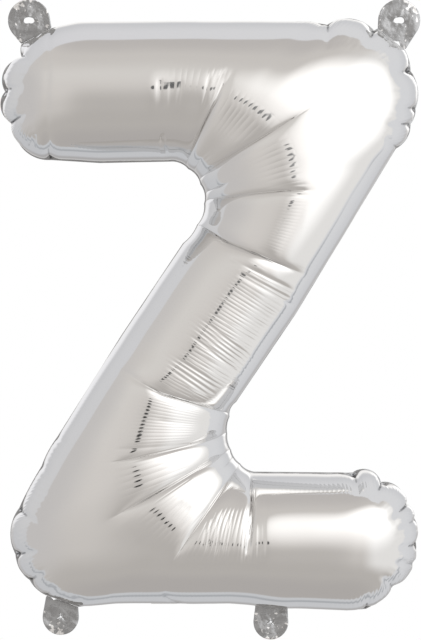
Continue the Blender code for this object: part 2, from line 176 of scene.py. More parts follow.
# Creases pressed into both sheets: where, x and z of its start, x and z of its end, depth at each and
# half its width
CREASES = (
    ("top fan", -34.1, -48.5, -29.8, -82.6, 0.5, 1.0, 2.0),
    ("", -15.2, -86.6, -4.3, -63.4, 0.8, 2.0, 1.5),
    ("", -4.3, -63.4, 11.8, -37.3, 2.0, 0.0, 1.8),
    ("", -9.0, -98.1, 22.3, -80.1, 0.5, 2.2, 1.6),
    ("", 22.3, -80.1, 43.5, -67.8, 2.2, 0.3, 1.8),
    ("", -5.2, -111.7, 27.0, -109.4, 0.4, 2.2, 1.6),
    ("", 27.0, -109.4, 52.0, -107.7, 2.2, 0.4, 1.8),
    ("", -8.1, -126.6, 7.1, -139.0, 0.5, 1.8, 1.5),
    ("", 7.1, -139.0, 33.5, -149.2, 1.8, 2.2, 1.8),
    ("", 33.5, -149.2, 51.5, -156.5, 2.2, 0.4, 1.8),
    ("diagonal", -4.3, -132.8, -19.2, -155.7, 0.3, 0.0, 2.0),
    ("foot fan", -52.1, -219.3, -31.0, -231.4, 0.4, 2.0, 2.0),
    ("", -31.0, -231.4, -3.7, -238.8, 2.0, 1.6, 1.8),
    ("", -3.7, -238.8, 10.0, -244.0, 1.6, 0.6, 1.5),
    ("", -55.8, -264.9, 5.6, -256.2, 0.3, 1.2, 1.5),
    ("", -57.0, -272.3, -0.6, -259.3, 0.3, 1.2, 1.5),
    ("", -39.7, -294.0, 3.1, -269.2, 2.0, 0.8, 1.8),
    ("", -54.6, -301.4, -39.7, -294.0, 0.2, 2.0, 1.6),
    ("", -20.5, -325.0, -5.0, -303.3, 0.2, 2.0, 1.6),
    ("", -5.0, -303.3, 13.0, -278.5, 2.0, 0.8, 1.8),
    ("", 18.6, -331.8, 23.2, -303.3, 0.2, 2.0, 1.8),
    ("", 23.2, -303.3, 21.4, -281.6, 2.0, 1.0, 1.6),
    ("", 32.2, -288.4, 24.2, -281.6, 0.2, 1.2, 1.6),
    ("", -33.5, -246.9, -17.4, -248.7, 0.6, 0.2, 1.4),
    ("edge of the top fan", 9.9, -40.4, 30.4, -48.0, -0.2, -0.25, 2.0),
    ("", 30.4, -48.0, 47.1, -61.0, -0.25, -0.25, 2.0),
    ("", 47.1, -61.0, 55.2, -79.0, -0.25, 0.0, 2.0),
    ("", 54.5, -112.0, 52.1, -150.0, -0.25, -0.25, 2.0),
    ("edge of the foot fan", -55.8, -240.0, -59.5, -285.0, -0.2, -0.5, 1.5),
    ("", -59.5, -285.0, -57.0, -301.0, -0.5, -0.3, 1.5),
    ("", -54.0, -309.0, -44.0, -322.0, -0.5, -0.5, 1.5),
    ("", -44.0, -322.0, -25.0, -330.0, -0.5, -0.4, 1.5),
    ("swell of the top bar", -38.0, -10.0, -38.0, -75.0, -1.3, -1.3, 14.0),
    ("swell of the top fan", 47.0, -80.0, 49.0, -86.0, -0.6, -0.6, 5.0),
    ("swell of the bottom bar", 31.0, -300.0, 31.0, -345.0, -0.8, -0.8, 16.0),
    ("neck", -30.4, -350.7, -16.7, -360.7, 1.6, 1.8, 1.6),
    ("", -64.5, -343.6, -62.0, -359.7, 0.0, 1.0, 2.0),
)

# Notches that run in from between the lobes of the weld, in rows like those of the creases. The width is
# half a lobe.
NOTCHES = (
    ("left end", -119.2, -15.4, -108.0, -22.0, 1.2, 0.0, 4.0),
    ("", -119.3, -23.6, -108.5, -29.0, 3.4, 0.0, 6.0),
    ("", -130.2, -44.5, -112.0, -45.0, 3.2, 0.0, 10.0),
    ("", -124.6, -64.9, -107.5, -57.0, 4.0, 0.0, 9.0),
    ("", -113.0, -78.0, -106.5, -70.0, 1.4, 0.0, 7.0),
    ("", -101.3, -87.4, -99.0, -70.0, 2.6, 0.0, 7.0),
    ("", -100.5, -4.8, -97.5, -17.0, 2.0, 0.0, 6.0),
    ("top right corner", 70.3, -2.4, 68.5, -24.0, 3.4, 0.0, 9.0),
    ("", 99.6, -5.4, 92.0, -23.0, 4.0, 0.0, 8.0),
    ("", 112.0, -12.5, 105.0, -21.5, 1.4, 0.0, 7.0),
    ("", 122.4, -31.2, 106.0, -37.0, 3.6, 0.0, 10.0),
    ("", 125.6, -55.0, 108.0, -56.0, 2.6, 0.0, 6.0),
    ("", 122.3, -64.9, 102.0, -65.2, 2.8, 0.0, 5.0),
    ("", 113.4, -80.2, 101.0, -73.5, 2.4, 0.0, 8.0),
    ("foot corner", -98.0, -258.4, -86.0, -262.0, 1.0, 0.0, 7.0),
    ("", -107.6, -276.3, -96.0, -281.0, 1.4, 0.0, 9.0),
    ("", -121.6, -302.3, -103.0, -312.0, 3.6, 0.0, 11.0),
    ("", -123.8, -331.4, -104.0, -325.5, 4.0, 0.0, 9.0),
    ("", -115.0, -347.8, -100.0, -336.0, 3.0, 0.0, 7.0),
    ("", -104.4, -357.4, -96.0, -345.0, 1.8, 0.0, 7.0),
    ("", -84.2, -364.2, -80.0, -352.0, 1.6, 0.0, 7.0),
    ("right end", 85.9, -280.2, 86.4, -296.0, 3.4, 0.0, 8.0),
    ("", 103.8, -286.0, 94.0, -299.0, 3.8, 0.0, 9.0),
    ("", 118.5, -299.6, 103.0, -309.5, 3.6, 0.0, 6.0),
    ("", 124.6, -308.4, 108.0, -314.0, 2.2, 0.0, 5.0),
    ("", 125.5, -323.6, 106.0, -324.5, 3.0, 0.0, 7.0),
    ("", 123.0, -335.8, 106.0, -331.5, 2.2, 0.0, 6.0),
    ("", 111.4, -351.6, 99.0, -339.0, 3.6, 0.0, 9.0),
    ("", 94.4, -366.0, 91.0, -350.0, 3.0, 0.0, 9.0),
)

# Groups of ripples, each from a start line to an end line: where, x and z of both ends of the start line,
# of both ends of the end line, how many, depth
RIPPLES = (
    ("left of the top fan", -34.7, -55.9, -21.1, -55.9, -33.5, -39.8, -18.6, -40.4, 6, 0.38),
    ("first crease", -8.1, -58.4, 1.2, -54.7, -1.9, -36.1, 9.3, -34.8, 5, 0.45),
    ("", 33.5, -103.7, 34.7, -112.3, 55.8, -101.2, 56.4, -111.7, 3, 0.35),
    ("top inner corner", -13.0, -89.4, -4.3, -119.2, -1.2, -78.9, 7.4, -116.1, 14, 0.10),
    ("diagonal", 11.2, -150.2, -34.7, -224.6, 47.1, -171.2, -5.0, -234.5, 44, 0.15),
    ("", 7.4, -147.7, 16.1, -160.7, 46.5, -165.0, 48.4, -178.1, 4, 0.75),
    ("", -13.0, -179.9, -19.2, -192.9, 21.1, -206.0, 13.6, -219.0, 6, 0.60),
    ("", -28.5, -204.1, -33.5, -212.8, 3.1, -223.3, -5.6, -231.4, 4, 0.75),
    ("", -30.4, -305.8, -18.6, -310.7, -20.5, -295.2, -11.2, -300.2, 4, 0.38),
    ("", -2.5, -302.7, 12.4, -305.2, -8.1, -326.9, 7.4, -330.6, 8, 0.38),
    ("", 19.8, -289.0, 29.8, -297.7, 14.9, -333.1, 29.8, -332.4, 6, 0.60),
    ("foot inner corner", 8.7, -241.9, 11.2, -274.2, -8.7, -238.2, -5.6, -279.1, 12, 0.10),
    ("left end", -116.6, -57.8, -107.9, -65.2, -119.0, -62.7, -111.6, -70.8, 4, 0.45),
    ("", -115.9, -36.1, -115.9, -57.2, -109.1, -38.6, -109.1, -54.7, 5, 0.26),
    ("top right corner", 75.6, -11.3, 94.2, -12.5, 74.4, -21.2, 90.5, -22.4, 8, 0.38),
    ("", 99.2, -15.0, 117.8, -37.3, 94.2, -20.0, 110.4, -41.0, 10, 0.45),
    ("foot corner", -110.4, -310.1, -110.4, -325.6, -102.9, -310.1, -102.9, -325.6, 6, 0.26),
    ("right end", 112.8, -291.5, 122.8, -310.1, 102.9, -297.7, 112.8, -313.8, 9, 0.38),
    ("", 122.8, -325.6, 115.3, -347.3, 110.4, -327.5, 106.6, -341.1, 7, 0.30),
    ("neck", -26.0, -359.7, -14.9, -360.3, -29.8, -352.3, -22.3, -353.5, 5, 0.45),
)

# How the rows of those tables vary. A pair is a range that each crease or ripple draws its own value from.
CREASE_SIZES = (0.85, 1.15)  # share of its depth
RIPPLE_SIZES = (0.6, 1.3)
RIPPLE_STARTS = (0, 0.2)  # share of the way from the start line to the end line
RIPPLE_KNEES = (0.7, 0.85)  # where a ripple is deepest
RIPPLE_ENDS = (0.95, 1.05)
RIPPLE_RISE = 0.3  # depth at its start, as a share of its deepest
RIPPLE_JITTER = 0.18  # how far it strays to each side, as a share of the room it has
RIPPLE_FILL = 0.3  # half its width, as a share of the room it has
CREASE_START = 12.0  # mm from the weld to where the creases get deep
CREASE_REST = 0.15  # share of the creases that is pressed in again once the film has settled
GATHER_PITCH = 3.6  # mm between the ripples that run in from the weld between two notches
GATHER_DEPTH = 0.34  # mm

UNDULATIONS = 14  # slow waves of the film
UNDULATION_LENGTHS = (22, 60)  # mm
UNDULATION_DEPTH = 0.04  # mm

PUCKER_PITCHES = (4.3, 5.9, 8.3, 12.1)  # mm between the fine puckers along the weld
PUCKER_REACH = 9.0  # mm
PUCKER_DEPTH = 0.045  # mm
PUCKER_LOBE_DEPTH = 0.08  # mm more at the lobes
PUCKER_DRIFT = 13  # mm over which their pitch varies
PUCKER_SWELL = 17  # mm over which their depth varies

FINE_PITCH = 2.7  # mm between the finest ripples along the weld, which the foil's bump shows
FINE_HEIGHT = 0.15  # mm
FINE_BASE = 0.1  # share of that height away from the lobes
FINE_MIDDLE = 9.0  # mm from the weld, seen from the front, to where they are highest
FINE_SPREAD = 5.0  # mm to each side of that
FINE_LOBE_REACH = 16  # mm
EDGE_BLEND = 1.5  # mm over which the ripples of two edges pass into each other

# Painted shade: dark lines painted into the foil's colour along the bottoms of notches and creases, where
# little light reaches
NOTCH_LINE = 0.45  # share of a notch along whose bottom a line of painted shade runs
NOTCH_PAINTED_SHADE = 1.4
NOTCH_FADE = 0.6  # share of that at the line's inner end
FULL_NOTCH = 3.0  # mm, the depth from which a notch's painted shade is darkest
CREASE_PAINTED_SHADE = 0.38  # painted shade per mm of a crease's depth
LEAST_CREASE = 0.8  # mm that a crease's start counts as at least
LINE_WIDTH = 1.5  # mm

# Finest ripples across the strokes: first zone, last zone, from and to (mm from the ridge, positive towards
# the over side), height, mm from one to the next
WRINKLES = (
    ("top fan 1", "top fan 1", -8, 14, 0.03, 3.5),
    ("top fan 2", "top fan 2", -24, 5, 0.075, 3.5),
    ("top fan 3", "top fan 3", -22, 5, 0.075, 3.5),
    ("top fan 4", "top fan 5", -12, 8, 0.015, 2.0),
    ("diagonal", "diagonal", -8, 30, 0.06, 2.3),
    ("foot fan 1", "foot fan 2", -6, 34, 0.04, 2.2),
    ("foot fan 3", "foot fan 3", -14, 30, 0.07, 3.2),
    ("foot fan 4", "foot fan 4", -10, 30, 0.08, 3.1),
    ("foot fan 5", "foot fan 5", -12, 26, 0.08, 3.2),
)
WRINKLE_PITCH = 3.5  # mm where no row gives one
WRINKLE_BLEND = 5  # sections over which the pitch changes
WRINKLE_FADE = 8  # sections at both ends of a zone
WRINKLE_FADES = (14, 4)  # mm at the under side and at the over side

# Mm from the inner corner to the line where a sheet faces forward, at the first section of each zone
RIDGES = {
    "top fan 1": 43.4,
    "top fan 2": 48.0,
    "top fan 3": 53.0,
    "top fan 4": 54.0,
    "top fan 5": 45.0,
    "diagonal": 41.3,
    "foot fan 1": 41.1,
    "foot fan 2": 49.0,
    "foot fan 3": 56.0,
    "foot fan 4": 58.0,
    "foot fan 5": 56.0,
    "bottom bar": 41.2,
}
RIDGE_LIMIT = 0.58  # of a section's length
RIDGE_BLEND = 10  # sections
RIDGE_ROW = ROWS // 2
SECTION_BLEND = 10  # points over which the weld's notches are evened out
NOTCH_REACH = 7 * MM  # how far in the notches of the weld bend the sections
BAR_RUNS = {"top bar": 92.0, "bottom bar": 93.0}  # length, mm
END_RADIUS = 46.0  # mm, of a bar's rounded end

# Depth at the first section of a zone as a share of HALF_DEPTH: more in the corners, less in the bars
FULLNESS = {
    "top bar": 0.90,
    "top fan 2": 1.0,
    "top fan 4": FULLEST,
    "diagonal": 0.975,
    "foot fan 1": 0.975,
    "foot fan 4": FULLEST,
    "bottom bar": 0.995,
    "end": 0.90,
}
FULLNESS_BLEND = 20  # sections
ROUNDNESS = 1.1  # 1 is a half ellipse, and more is slimmer near the weld
LIP_START = 1.2  # mm from the weld in which a tab's lip rises

LOBE_BOW = 1.0  # mm that a run of the weld bows out at least to count as a lobe
LOBE_REACH = 10  # mm
WELD_STRAY = 0.12  # mm that the weld strays forward and back
WELD_LOBE_STRAY = 0.8  # mm more at the lobes
WELD_WAVES = ((0.42, 0.33, 1.0, 1.0), (-0.55, 0.61, 0.3, 0.6))  # radians per mm of x and z, start, share
TAB_HOLD = 13  # mm round a tab's root where the weld stays straight

# How the film is blown up
SEEDS = {-1: 7, 1: 8}  # for the random numbers of the front sheet and of the back sheet
SPARE_LENGTH = (0.003, 0.001)  # along the letter and across it, as a share
PRESSURE = 0.02 * MM  # way that it pushes the film in a step
DAMPING = 0.9  # share of its speed that the film keeps
BENDING = 0.02  # share of a bend that is taken back in a step
SLANT_PULL = 0.3  # share of a shear that is taken back in a step
HOLD = 0.003  # share of the way back to the shape it started from
EDGE_HOLD = 0.1  # more of that next to the weld
EDGE_HOLD_REACH = 4  # mm
EDGE_FADE = 2  # mm from the weld in which notches and ripples fade out

# Tabs: name, x and z of the head's centre, radius of the head, of the hole (mm), x and z of its root's ends
TABS = (
    ("tab_top_left", -114.7, -0.4, 13.0, 2.5, -119.4, -15.1, -100.7, -5.1),
    ("tab_top_right", 114.7, -0.4, 13.0, 2.5, 101.4, -5.4, 118.4, -18.7),
    ("tab_bottom_left", -95.0, -370.0, 11.2, 1.8, -104.0, -356.8, -84.1, -363.9),
    ("tab_bottom_right", 35.2, -373.2, 10.8, 1.8, 25.7, -362.5, 45.6, -364.2),
)
TAB_SEED = 3  # of the first tab, and one more for each that follows
TAB_SPOKES = 108
TAB_RINGS = 30
TAB_GAP = 0.15  # mm between the weld and a tab
TAB_EDGE = 0.4  # share of its thickness at its edge and its hole
TAB_LEAN = 0.07  # how far forward a tab leans, per length
TAB_FOLD = 3.0  # mm from its root in which it is flat
TAB_FOLDS = ((6, 0.12, (5, 13)), (9, 0.07, (1.8, 4)))  # how many, their height and their pitches, mm
TAB_WAVE = 0.2  # mm
TAB_SWELLING = (11.0, 7.0, 3.0)  # half length, height and depth (mm) of the lip of the sheets at each tab
TAB_GLINT = 6.0  # mm round its tip where a painted glint lightens a tab's colour most
TAB_EDGE_GLINT = (0.35, 0.75)  # how much painted glint at the edge of its head, and from what share of the radius on
LEAST_FACING = 0.05  # cosine under which a heading runs past a line
SIDE_END = 1.5  # share of a tab's side up to which its line bounds the tab
PUNCHED_HOLE = 2.0  # mm, the radius above which a hole is punched clean
HOLE_OVAL = 0.28  # stretch of a punched hole, as a share of its radius
HOLE_WOBBLE = 0.06
HOLE_PUCKER = (0.22, 5, 2.2)  # height in mm, how many, reach in mm
TORN_HOLE = 0.3  # radius of a torn hole between its tears, as a share of its radius
TEARS = ((90, 1.3), (152, 0.7), (208, 1.5), (255, 0.9), (318, 1.6), (20, 0.8))  # degrees, length per radius
TEAR_WIDTH = 0.17  # half of it, in radians

# Mm in from the outer edge of the weld, and half its thickness there
RIM_SECTION = ((0.0, 0.10), (0.05, 0.24), (RIM_WIDTH / 2, 0.26), (RIM_WIDTH, 0.26), (RIM_WIDTH + 1.0, 0.26))

# Neck: middle of its width, its fold line, width, radius that it curls to (mm) and how far round it goes
NECK = (-31.0, -361.8, 16.0, 46.0, math.radians(47))
NECK_LENGTHS = 44
NECK_WIDTHS = 24
NECK_THICKNESS = 0.4  # mm
NECK_WAIST = 0.10  # how much narrower it is half way, as a share
NECK_WOBBLE = (0.02, 17)  # of its width, as a share, and radians of it on the way
NECK_LONG_WRINKLES = (0.28, 9, 2, 3)  # height in mm, radians across, sway to each side and radians of that
NECK_CROSS_WRINKLES = (0.25, 21, 2)  # height in mm, radians down the neck and across it
NECK_RISE = 6  # the wrinkles rise over a sixth of its length

# Materials
SHADER = "Principled BSDF"
RIPPLE_DRIFT = 2.2  # radians that the finest ripples stray from an even pitch
RIPPLE_DRIFT_SCALE = 0.3  # per ripple
# Painted shade: the colour painted into the bottoms of the creases and notches
CREASE_SHADE_COLOUR = (0.10, 0.10, 0.105)
CREASE_SHADING = (0.25, 1.05)  # painted shade from which it shows and at which it is full
GRAIN_SCALE = 900.0  # per metre
GRAIN_HEIGHT = 0.09 * MM
# Painted highlights: glints painted into the tabs' colour as light specks
GLINT_SCALE = 420.0  # per metre
PAINTED_GLINT_COLOUR = (0.92, 0.92, 0.92)
GLINT_SHARE = 0.3  # of the mark in the level that a painted glint needs
GLINT_LEVEL = (0.70, 0.80)

# Light by the height that a ray points to, as display values: in front of the letter, straight behind it
# and behind it to either side
FRONT_LIGHT = (
    (-1.0, 0.67, 0.655, 0.645),
    (-0.8, 0.70, 0.685, 0.67),
    (-0.4, 0.765, 0.75, 0.735),
    (0.1, 0.80, 0.785, 0.77),
    (0.4, 0.812, 0.80, 0.785),
    (0.8, 0.77, 0.755, 0.74),
    (1.0, 0.72, 0.705, 0.695),
)
STRAIGHT_REAR_LIGHT = (
    (-1.0, 0.56, 0.555, 0.56),
    (-0.45, 0.64, 0.635, 0.635),
    (-0.1, 0.72, 0.715, 0.715),
    (0.08, 0.83, 0.825, 0.82),
    (0.35, 0.93, 0.925, 0.92),
    (0.7, 0.82, 0.82, 0.82),
    (1.0, 0.78, 0.78, 0.79),
)
LEFT_REAR_LIGHT = (
    (-1.0, 0.745, 0.755, 0.768),
    (-0.5, 0.755, 0.76, 0.77),
    (0.2, 0.785, 0.785, 0.79),
    (0.7, 0.795, 0.797, 0.807),
    (1.0, 0.82, 0.82, 0.832),
)
RIGHT_REAR_LIGHT = (
    (-1.0, 0.775, 0.78, 0.79),
    (-0.4, 0.828, 0.832, 0.842),
    (0.2, 0.825, 0.83, 0.84),
    (1.0, 0.83, 0.832, 0.84),
)
# Patches of that light: where, display value, how much of it, and the ranges that it lies in. A range holds
# a value of the ray, where the patch begins and where it is full. The slope is y over the way down.
FRONT_PATCHES = (
    ("left side", (0.745, 0.735, 0.73), 1.0, (("x", -0.55, -1.0),)),
    ("right side", (0.875, 0.87, 0.863), 1.0, (("x", 0.38, 0.68), ("z", -0.78, -0.55), ("z", 0.95, 0.6))),
    (
        "below the camera",
        (0.68, 0.665, 0.65),
        0.85,
        (("x", -0.5, -0.02), ("x", 0.34, 0.02), ("z", 0.25, -0.35), ("z", -1.0, -0.6)),
    ),
)
REAR_PATCHES = (
    ("far side", (0.715, 0.72, 0.735), 0.6, (("y", 0.2, 1.0),)),
    (
        "low band",
        (0.65, 0.66, 0.675),
        1.0,
        (("slope", 0.36, 0.46), ("slope", 0.60, 0.50), ("z", -0.3, -0.6)),
    ),
)
# Spots: middle and half size in x, the same in z, and the share of that size in which a spot is full
WINDOW_SPOT = ((-0.42, 0.30), (0.28, 0.38), 0.4)
WINDOW_LIGHT = (0.90, 0.90, 0.91)
BRIGHT_SPOT = ((0.36, 0.28), (0.28, 0.34), 0.4)
BRIGHT_LIGHT = (1.03, 1.03, 1.03)
CAMERA_SPOT = ((0.02, 0.065), (0.03, 0.065), 0.5)  # what the foil shows of the camera
CAMERA_COLOUR = (0.02, 0.02, 0.02)
BACKDROP_COLOUR = (1.0, 1.0, 1.0)
SIDE_BLEND = (-0.35, 0.35)  # of x, from the left rear light to the right one
STRAIGHT_BACK = (0.72, 0.92)  # of y
REAR_START = (-0.25, -0.08)  # y of the limit between front and rear light, per z below and above the level
REAR_BLEND = (-0.02, 0.04)  # of y, from that limit
LEAST_WAY_DOWN = 0.05
FOIL_REFLECTANCE = 0.80

VIEW_CENTRE = Vector((-2.2, 0.0, -186.1)) * MM
VIEW_HEIGHT = 396.8 * MM
LENS = 180.0  # mm
FLOOR_SIZE = 2.4
FLOOR_DROP = 0.16  # from the letter's lowest point
FLOOR_COLOUR = (0.86, 0.86, 0.86, 1)
FLOOR_ROUGHNESS = 0.7
SOFTBOX_WIDTH = 1.52
SOFTBOX_HEIGHT = 1.30
SOFTBOX_PLACE = (0.40, -0.52, 0.045)
SOFTBOX_TURN = math.radians(42)
SOFTBOX_PEAK = (0.52, 0.58)  # its brightest spot, as shares of its width and height
SOFTBOX_FALLOFF = (1.0, 0.1)  # way to its edge at which it is dark and at which it is full
SOFTBOX_RADIANCE = 0.9


def unit(vectors):
    """The vectors at length 1."""
    return vectors / np.maximum(np.linalg.norm(vectors, axis=-1, keepdims=True), 1e-12)


def lengths(a, b):
    """Distances between two tables of points."""
    return np.sqrt(((b - a) ** 2).sum(-1))


def way_along(line):
    """Way from the start of a line of points to each of them, mm."""
    return np.concatenate([[0], np.cumsum(lengths(line[:-1], line[1:]))]) / MM


def smooth(values, width):
    """Running average over width entries to each side, with the first and last ones repeated."""
    padded = np.concatenate([[values[0]] * width, values, [values[-1]] * width])
    return np.convolve(padded, np.ones(2 * width + 1) / (2 * width + 1), mode="valid")


def smooth_line(line):
    """A line of points with the notches of the weld evened out."""
    return np.column_stack([smooth(line[:, k], SECTION_BLEND) for k in (0, 1)])


def bowed_point(start, end, bow, share, outward):
    """The point at a share of the arc from start to end, which bows out by bow at its middle."""
    chord = end - start
    length = np.hypot(*chord)
    across = np.array([-chord[1], chord[0]]) / length * outward
    if not bow:
        return start + chord * share
    half = 2 * math.atan(2 * abs(bow) / length)
    radius = length / 2 / math.sin(half)
    angle = half * (2 * share - 1)
    rise = radius * (math.cos(angle) - math.cos(half))
    along = radius * math.sin(angle)
    return (start + end) / 2 + chord / length * along + across * math.copysign(rise, bow)


def arc_length(start, end, bow):
    """Length of the arc from start to end, which bows out by bow at its middle."""
    chord = float(np.hypot(*(end - start)))
    if not bow:
        return chord
    half = 2 * math.atan(2 * abs(bow) / chord)
    return chord * half / math.sin(half)


def sample_run(knots, shares, outward):
    """Points along a run of knots at the given shares of its length. The nearest one moves to each knot."""
    places = [np.array([x, z]) for _, x, z, _ in knots]
    arcs = [arc_length(a, b, row[3]) for a, b, row in zip(places, places[1:], knots)]
    reached = np.concatenate([[0], np.cumsum(arcs)])
    targets = np.array(shares) * reached[-1]
    for at in reached[1:-1]:
        nearest = 1 + int(np.argmin(abs(targets[1:-1] - at)))
        targets[nearest] = at
    points = []
    for target in targets:
        k = min(int(np.searchsorted(reached, target, side="right")) - 1, len(arcs) - 1)
        share = (target - reached[k]) / (reached[k + 1] - reached[k])
        points.append(bowed_point(places[k], places[k + 1], knots[k][3], share, outward))
    return np.array(points) * MM


def zone_shares(zone):
    """Even shares, or closer together towards the end of a bar, where the film turns steep."""
    even = np.linspace(0, 1, SPANS[zone] + 1)
    if zone == "top bar":
        return 1 - np.cos(even * math.pi / 2)
    if zone == "bottom bar":
        return np.sin(even * math.pi / 2)
    return even


def sample_side(rows, outward):
    """A side of the letter from its left end to its right end, in as many points as the sections."""
    starts = [i for i, row in enumerate(rows) if row[0]]
    points = []
    for first, last in zip(starts, starts[1:]):
        run = sample_run(rows[first : last + 1], zone_shares(rows[first][0]), outward)
        points.extend(run if not points else run[1:])
    return np.array(points)


def outward_normals(loop):
    """Outward directions at the points of a clockwise loop."""
    ahead = unit(np.roll(loop, -1, axis=0) - loop)
    turn = unit(ahead + np.roll(ahead, 1, axis=0))
    return np.column_stack([-turn[:, 1], turn[:, 0]])


class Letter:
    """The weld's outline, and the sections that cross the strokes inside it."""

    def __init__(self):
        """Samples the outline, sets the sheets' edge in from it, and fills it with sections."""
        self.angle = np.linspace(0, math.pi, ROWS + 1)
        even = (1 - np.cos(self.angle)) / 2
        over = sample_side(OVER_SIDE, 1)
        under = sample_side(UNDER_SIDE, -1)
        left = sample_run(LEFT_END, even, 1)
        right = sample_run(RIGHT_END, even, -1)
        self.stations = len(over)
        self.outline = np.concatenate([over, right[-2:0:-1], under[::-1], left[1:-1]])
        edge = self.outline - outward_normals(self.outline) * RIM_WIDTH * MM
        n = self.stations
        self.over = edge[:n]
        right_edge = edge[n - 1 : n + ROWS][::-1]
        self.under = edge[n + ROWS - 1 : 2 * n + ROWS - 1][::-1]
        left_edge = np.concatenate([edge[2 * n + ROWS - 2 :], edge[:1]])
        self.zone_start = {}
        at = 0
        for zone, spans in SPANS.items():
            self.zone_start[zone] = at
            at += spans
        self.zone_start["end"] = at
        self.grid = self.sections()
        self.bend_end(0, SPANS["top bar"], left_edge)
        self.bend_end(at, at - SPANS["bottom bar"], right_edge)

    def spread(self, by_zone):
        """A value for every section, from the values at the first sections of some zones."""
        starts = [self.zone_start[zone] for zone in by_zone]
        return np.interp(np.arange(self.stations), starts, list(by_zone.values()))

    def ridge_share(self):
        """Where each section is highest: in its middle, or in a fan where RIDGES says."""
        width = np.linalg.norm(self.over - self.under, axis=1)
        reach = self.spread(RIDGES) * MM / width
        share = np.full(self.stations, 0.5)
        top = slice(self.zone_start["top fan 1"], self.zone_start["diagonal"])
        foot = slice(self.zone_start["foot fan 1"], self.zone_start["bottom bar"])
        share[top] = np.minimum(reach[top], RIDGE_LIMIT)
        share[foot] = 1 - np.minimum(reach[foot], RIDGE_LIMIT)
        return smooth(share, RIDGE_BLEND)

    def sections(self):
        """Even sections from side to side, which bend out to the weld and its notches only next to it."""
        ridge = self.ridge_share()[:, None]
        way = -np.cos(self.angle)[None, :]
        share = np.where(way < 0, ridge * (1 + way), ridge + (1 - ridge) * way)[:, :, None]
        even_under, even_over = smooth_line(self.under), smooth_line(self.over)
        grid = even_under[:, None, :] * (1 - share) + even_over[:, None, :] * share
        width = np.linalg.norm(even_over - even_under, axis=1)[:, None, None]
        grid += (self.under - even_under)[:, None, :] * np.exp(-((share * width / NOTCH_REACH) ** 2))
        grid += (self.over - even_over)[:, None, :] * np.exp(-(((1 - share) * width / NOTCH_REACH) ** 2))
        return grid

    def bend_end(self, end, inner, line):
        """Bends a bar's straight sections to the line of its round end, less and less towards inner."""
        straight = self.grid[end].copy()
        even_line = line.copy()
        even_line[1:-1] = smooth_line(line)[1:-1]
        for i in range(min(end, inner), max(end, inner) + 1):
            nearness = 1 - abs(i - end) / abs(inner - end)
            away = np.linalg.norm(self.grid[i] - straight, axis=1)[:, None]
            near = np.exp(-((away / NOTCH_REACH) ** 2))
            self.grid[i] += (even_line - straight) * nearness**2 + (line - even_line) * near

    def end_angle(self):
        """How far along each bar's rounded end a section lies: 0 at the very end, a right angle past it."""
        reach = np.full(self.stations, 1.0)
        for zone, length in BAR_RUNS.items():
            turn = np.linspace(0, math.pi / 2, SPANS[zone] + 1)
            distance = np.minimum((1 - np.cos(turn)) * length / END_RADIUS, 1)
            first = self.zone_start[zone]
            reach[first : first + SPANS[zone] + 1] = distance if zone == "top bar" else distance[::-1]
        return np.arccos(1 - reach)


def edge_distance(points):
    """Way over the sheet from each point to its edge, in steps along the rows and the stations."""
    nearest = np.inf
    for axis in (0, 1):
        steps = np.linalg.norm(np.diff(points, axis=axis), axis=-1)
        way = np.insert(np.cumsum(steps, axis=axis), 0, 0, axis=axis)
        way_on = np.take(way, [-1], axis=axis) - way
        nearest = np.minimum(nearest, np.minimum(way, way_on))
    return nearest


def tab_swellings(plan):
    """How much a sheet swells at the root of each tab, mm."""
    half, height, depth = TAB_SWELLING
    gain = np.zeros(plan.shape[:-1])
    for *_, x0, z0, x1, z1 in TABS:
        start, end = np.array([x0, z0]), np.array([x1, z1])
        along = unit(end - start)
        across = np.array([-along[1], along[0]])
        offset = plan - (start + end) / 2
        reach = ((offset @ along) / half) ** 4 + ((offset @ across) / height) ** 2
        gain = np.maximum(gain, depth * np.exp(-reach))
    return gain


def lobe_share(plan, reach=LOBE_REACH):
    """1 at a lobe of the weld, and 0 away from them."""
    rows = (*OVER_SIDE, *UNDER_SIDE, *LEFT_END, *RIGHT_END)
    lobes = [(x, z) for _, x, z, bow in rows if bow > LOBE_BOW]
    away = np.min([np.hypot(plan[..., 0] - x, plan[..., 1] - z) for x, z in lobes], axis=0)
    return np.exp(-((away / reach) ** 2))


def weld_wave(plan):
    """How far the weld strays forward or back: most round its lobes, and not at all at the tabs."""
    roots = [((x0 + x1) / 2, (z0 + z1) / 2) for *_, x0, z0, x1, z1 in TABS]
    held = np.min([np.hypot(plan[..., 0] - x, plan[..., 1] - z) for x, z in roots], axis=0)
    size = WELD_STRAY + WELD_LOBE_STRAY * lobe_share(plan)
    swing = sum(share * np.sin(plan @ (x, z) + start) for x, z, start, share in WELD_WAVES)
    return size * swing * (1 - np.exp(-((held / TAB_HOLD) ** 4))) * MM


def blown_shape(letter, side, half_depth):
    """The sheet before it wrinkles: side is -1 for the front and 1 for the back."""
    plan = letter.grid / MM
    share = np.sin(letter.angle)[None, :] * np.sin(letter.end_angle())[:, None]
    fullness = smooth(letter.spread(FULLNESS), FULLNESS_BLEND)
    lip = tab_swellings(plan) * (1 - np.exp(-edge_distance(plan) / LIP_START)) * MM
    depth = half_depth * fullness[:, None] * share**ROUNDNESS + lip
    points = np.empty((letter.stations, ROWS + 1, 3))
    points[:, :, 0] = letter.grid[:, :, 0]
    points[:, :, 2] = letter.grid[:, :, 1]
    points[:, :, 1] = side * (depth + SEAM_LEVEL) + weld_wave(plan) * (1 - share) ** 4
    return points


def pull(a, b, rest, free_a, free_b, share):
    """Moves two blocks of points along the lines between them, towards the lines' rest lengths."""
    line = b - a
    length = np.sqrt((line**2).sum(-1)) + 1e-9
    step = share * (length - rest) / (length * (free_a + free_b + 1e-9))
    a += (free_a * step)[..., None] * line
    b -= (free_b * step)[..., None] * line


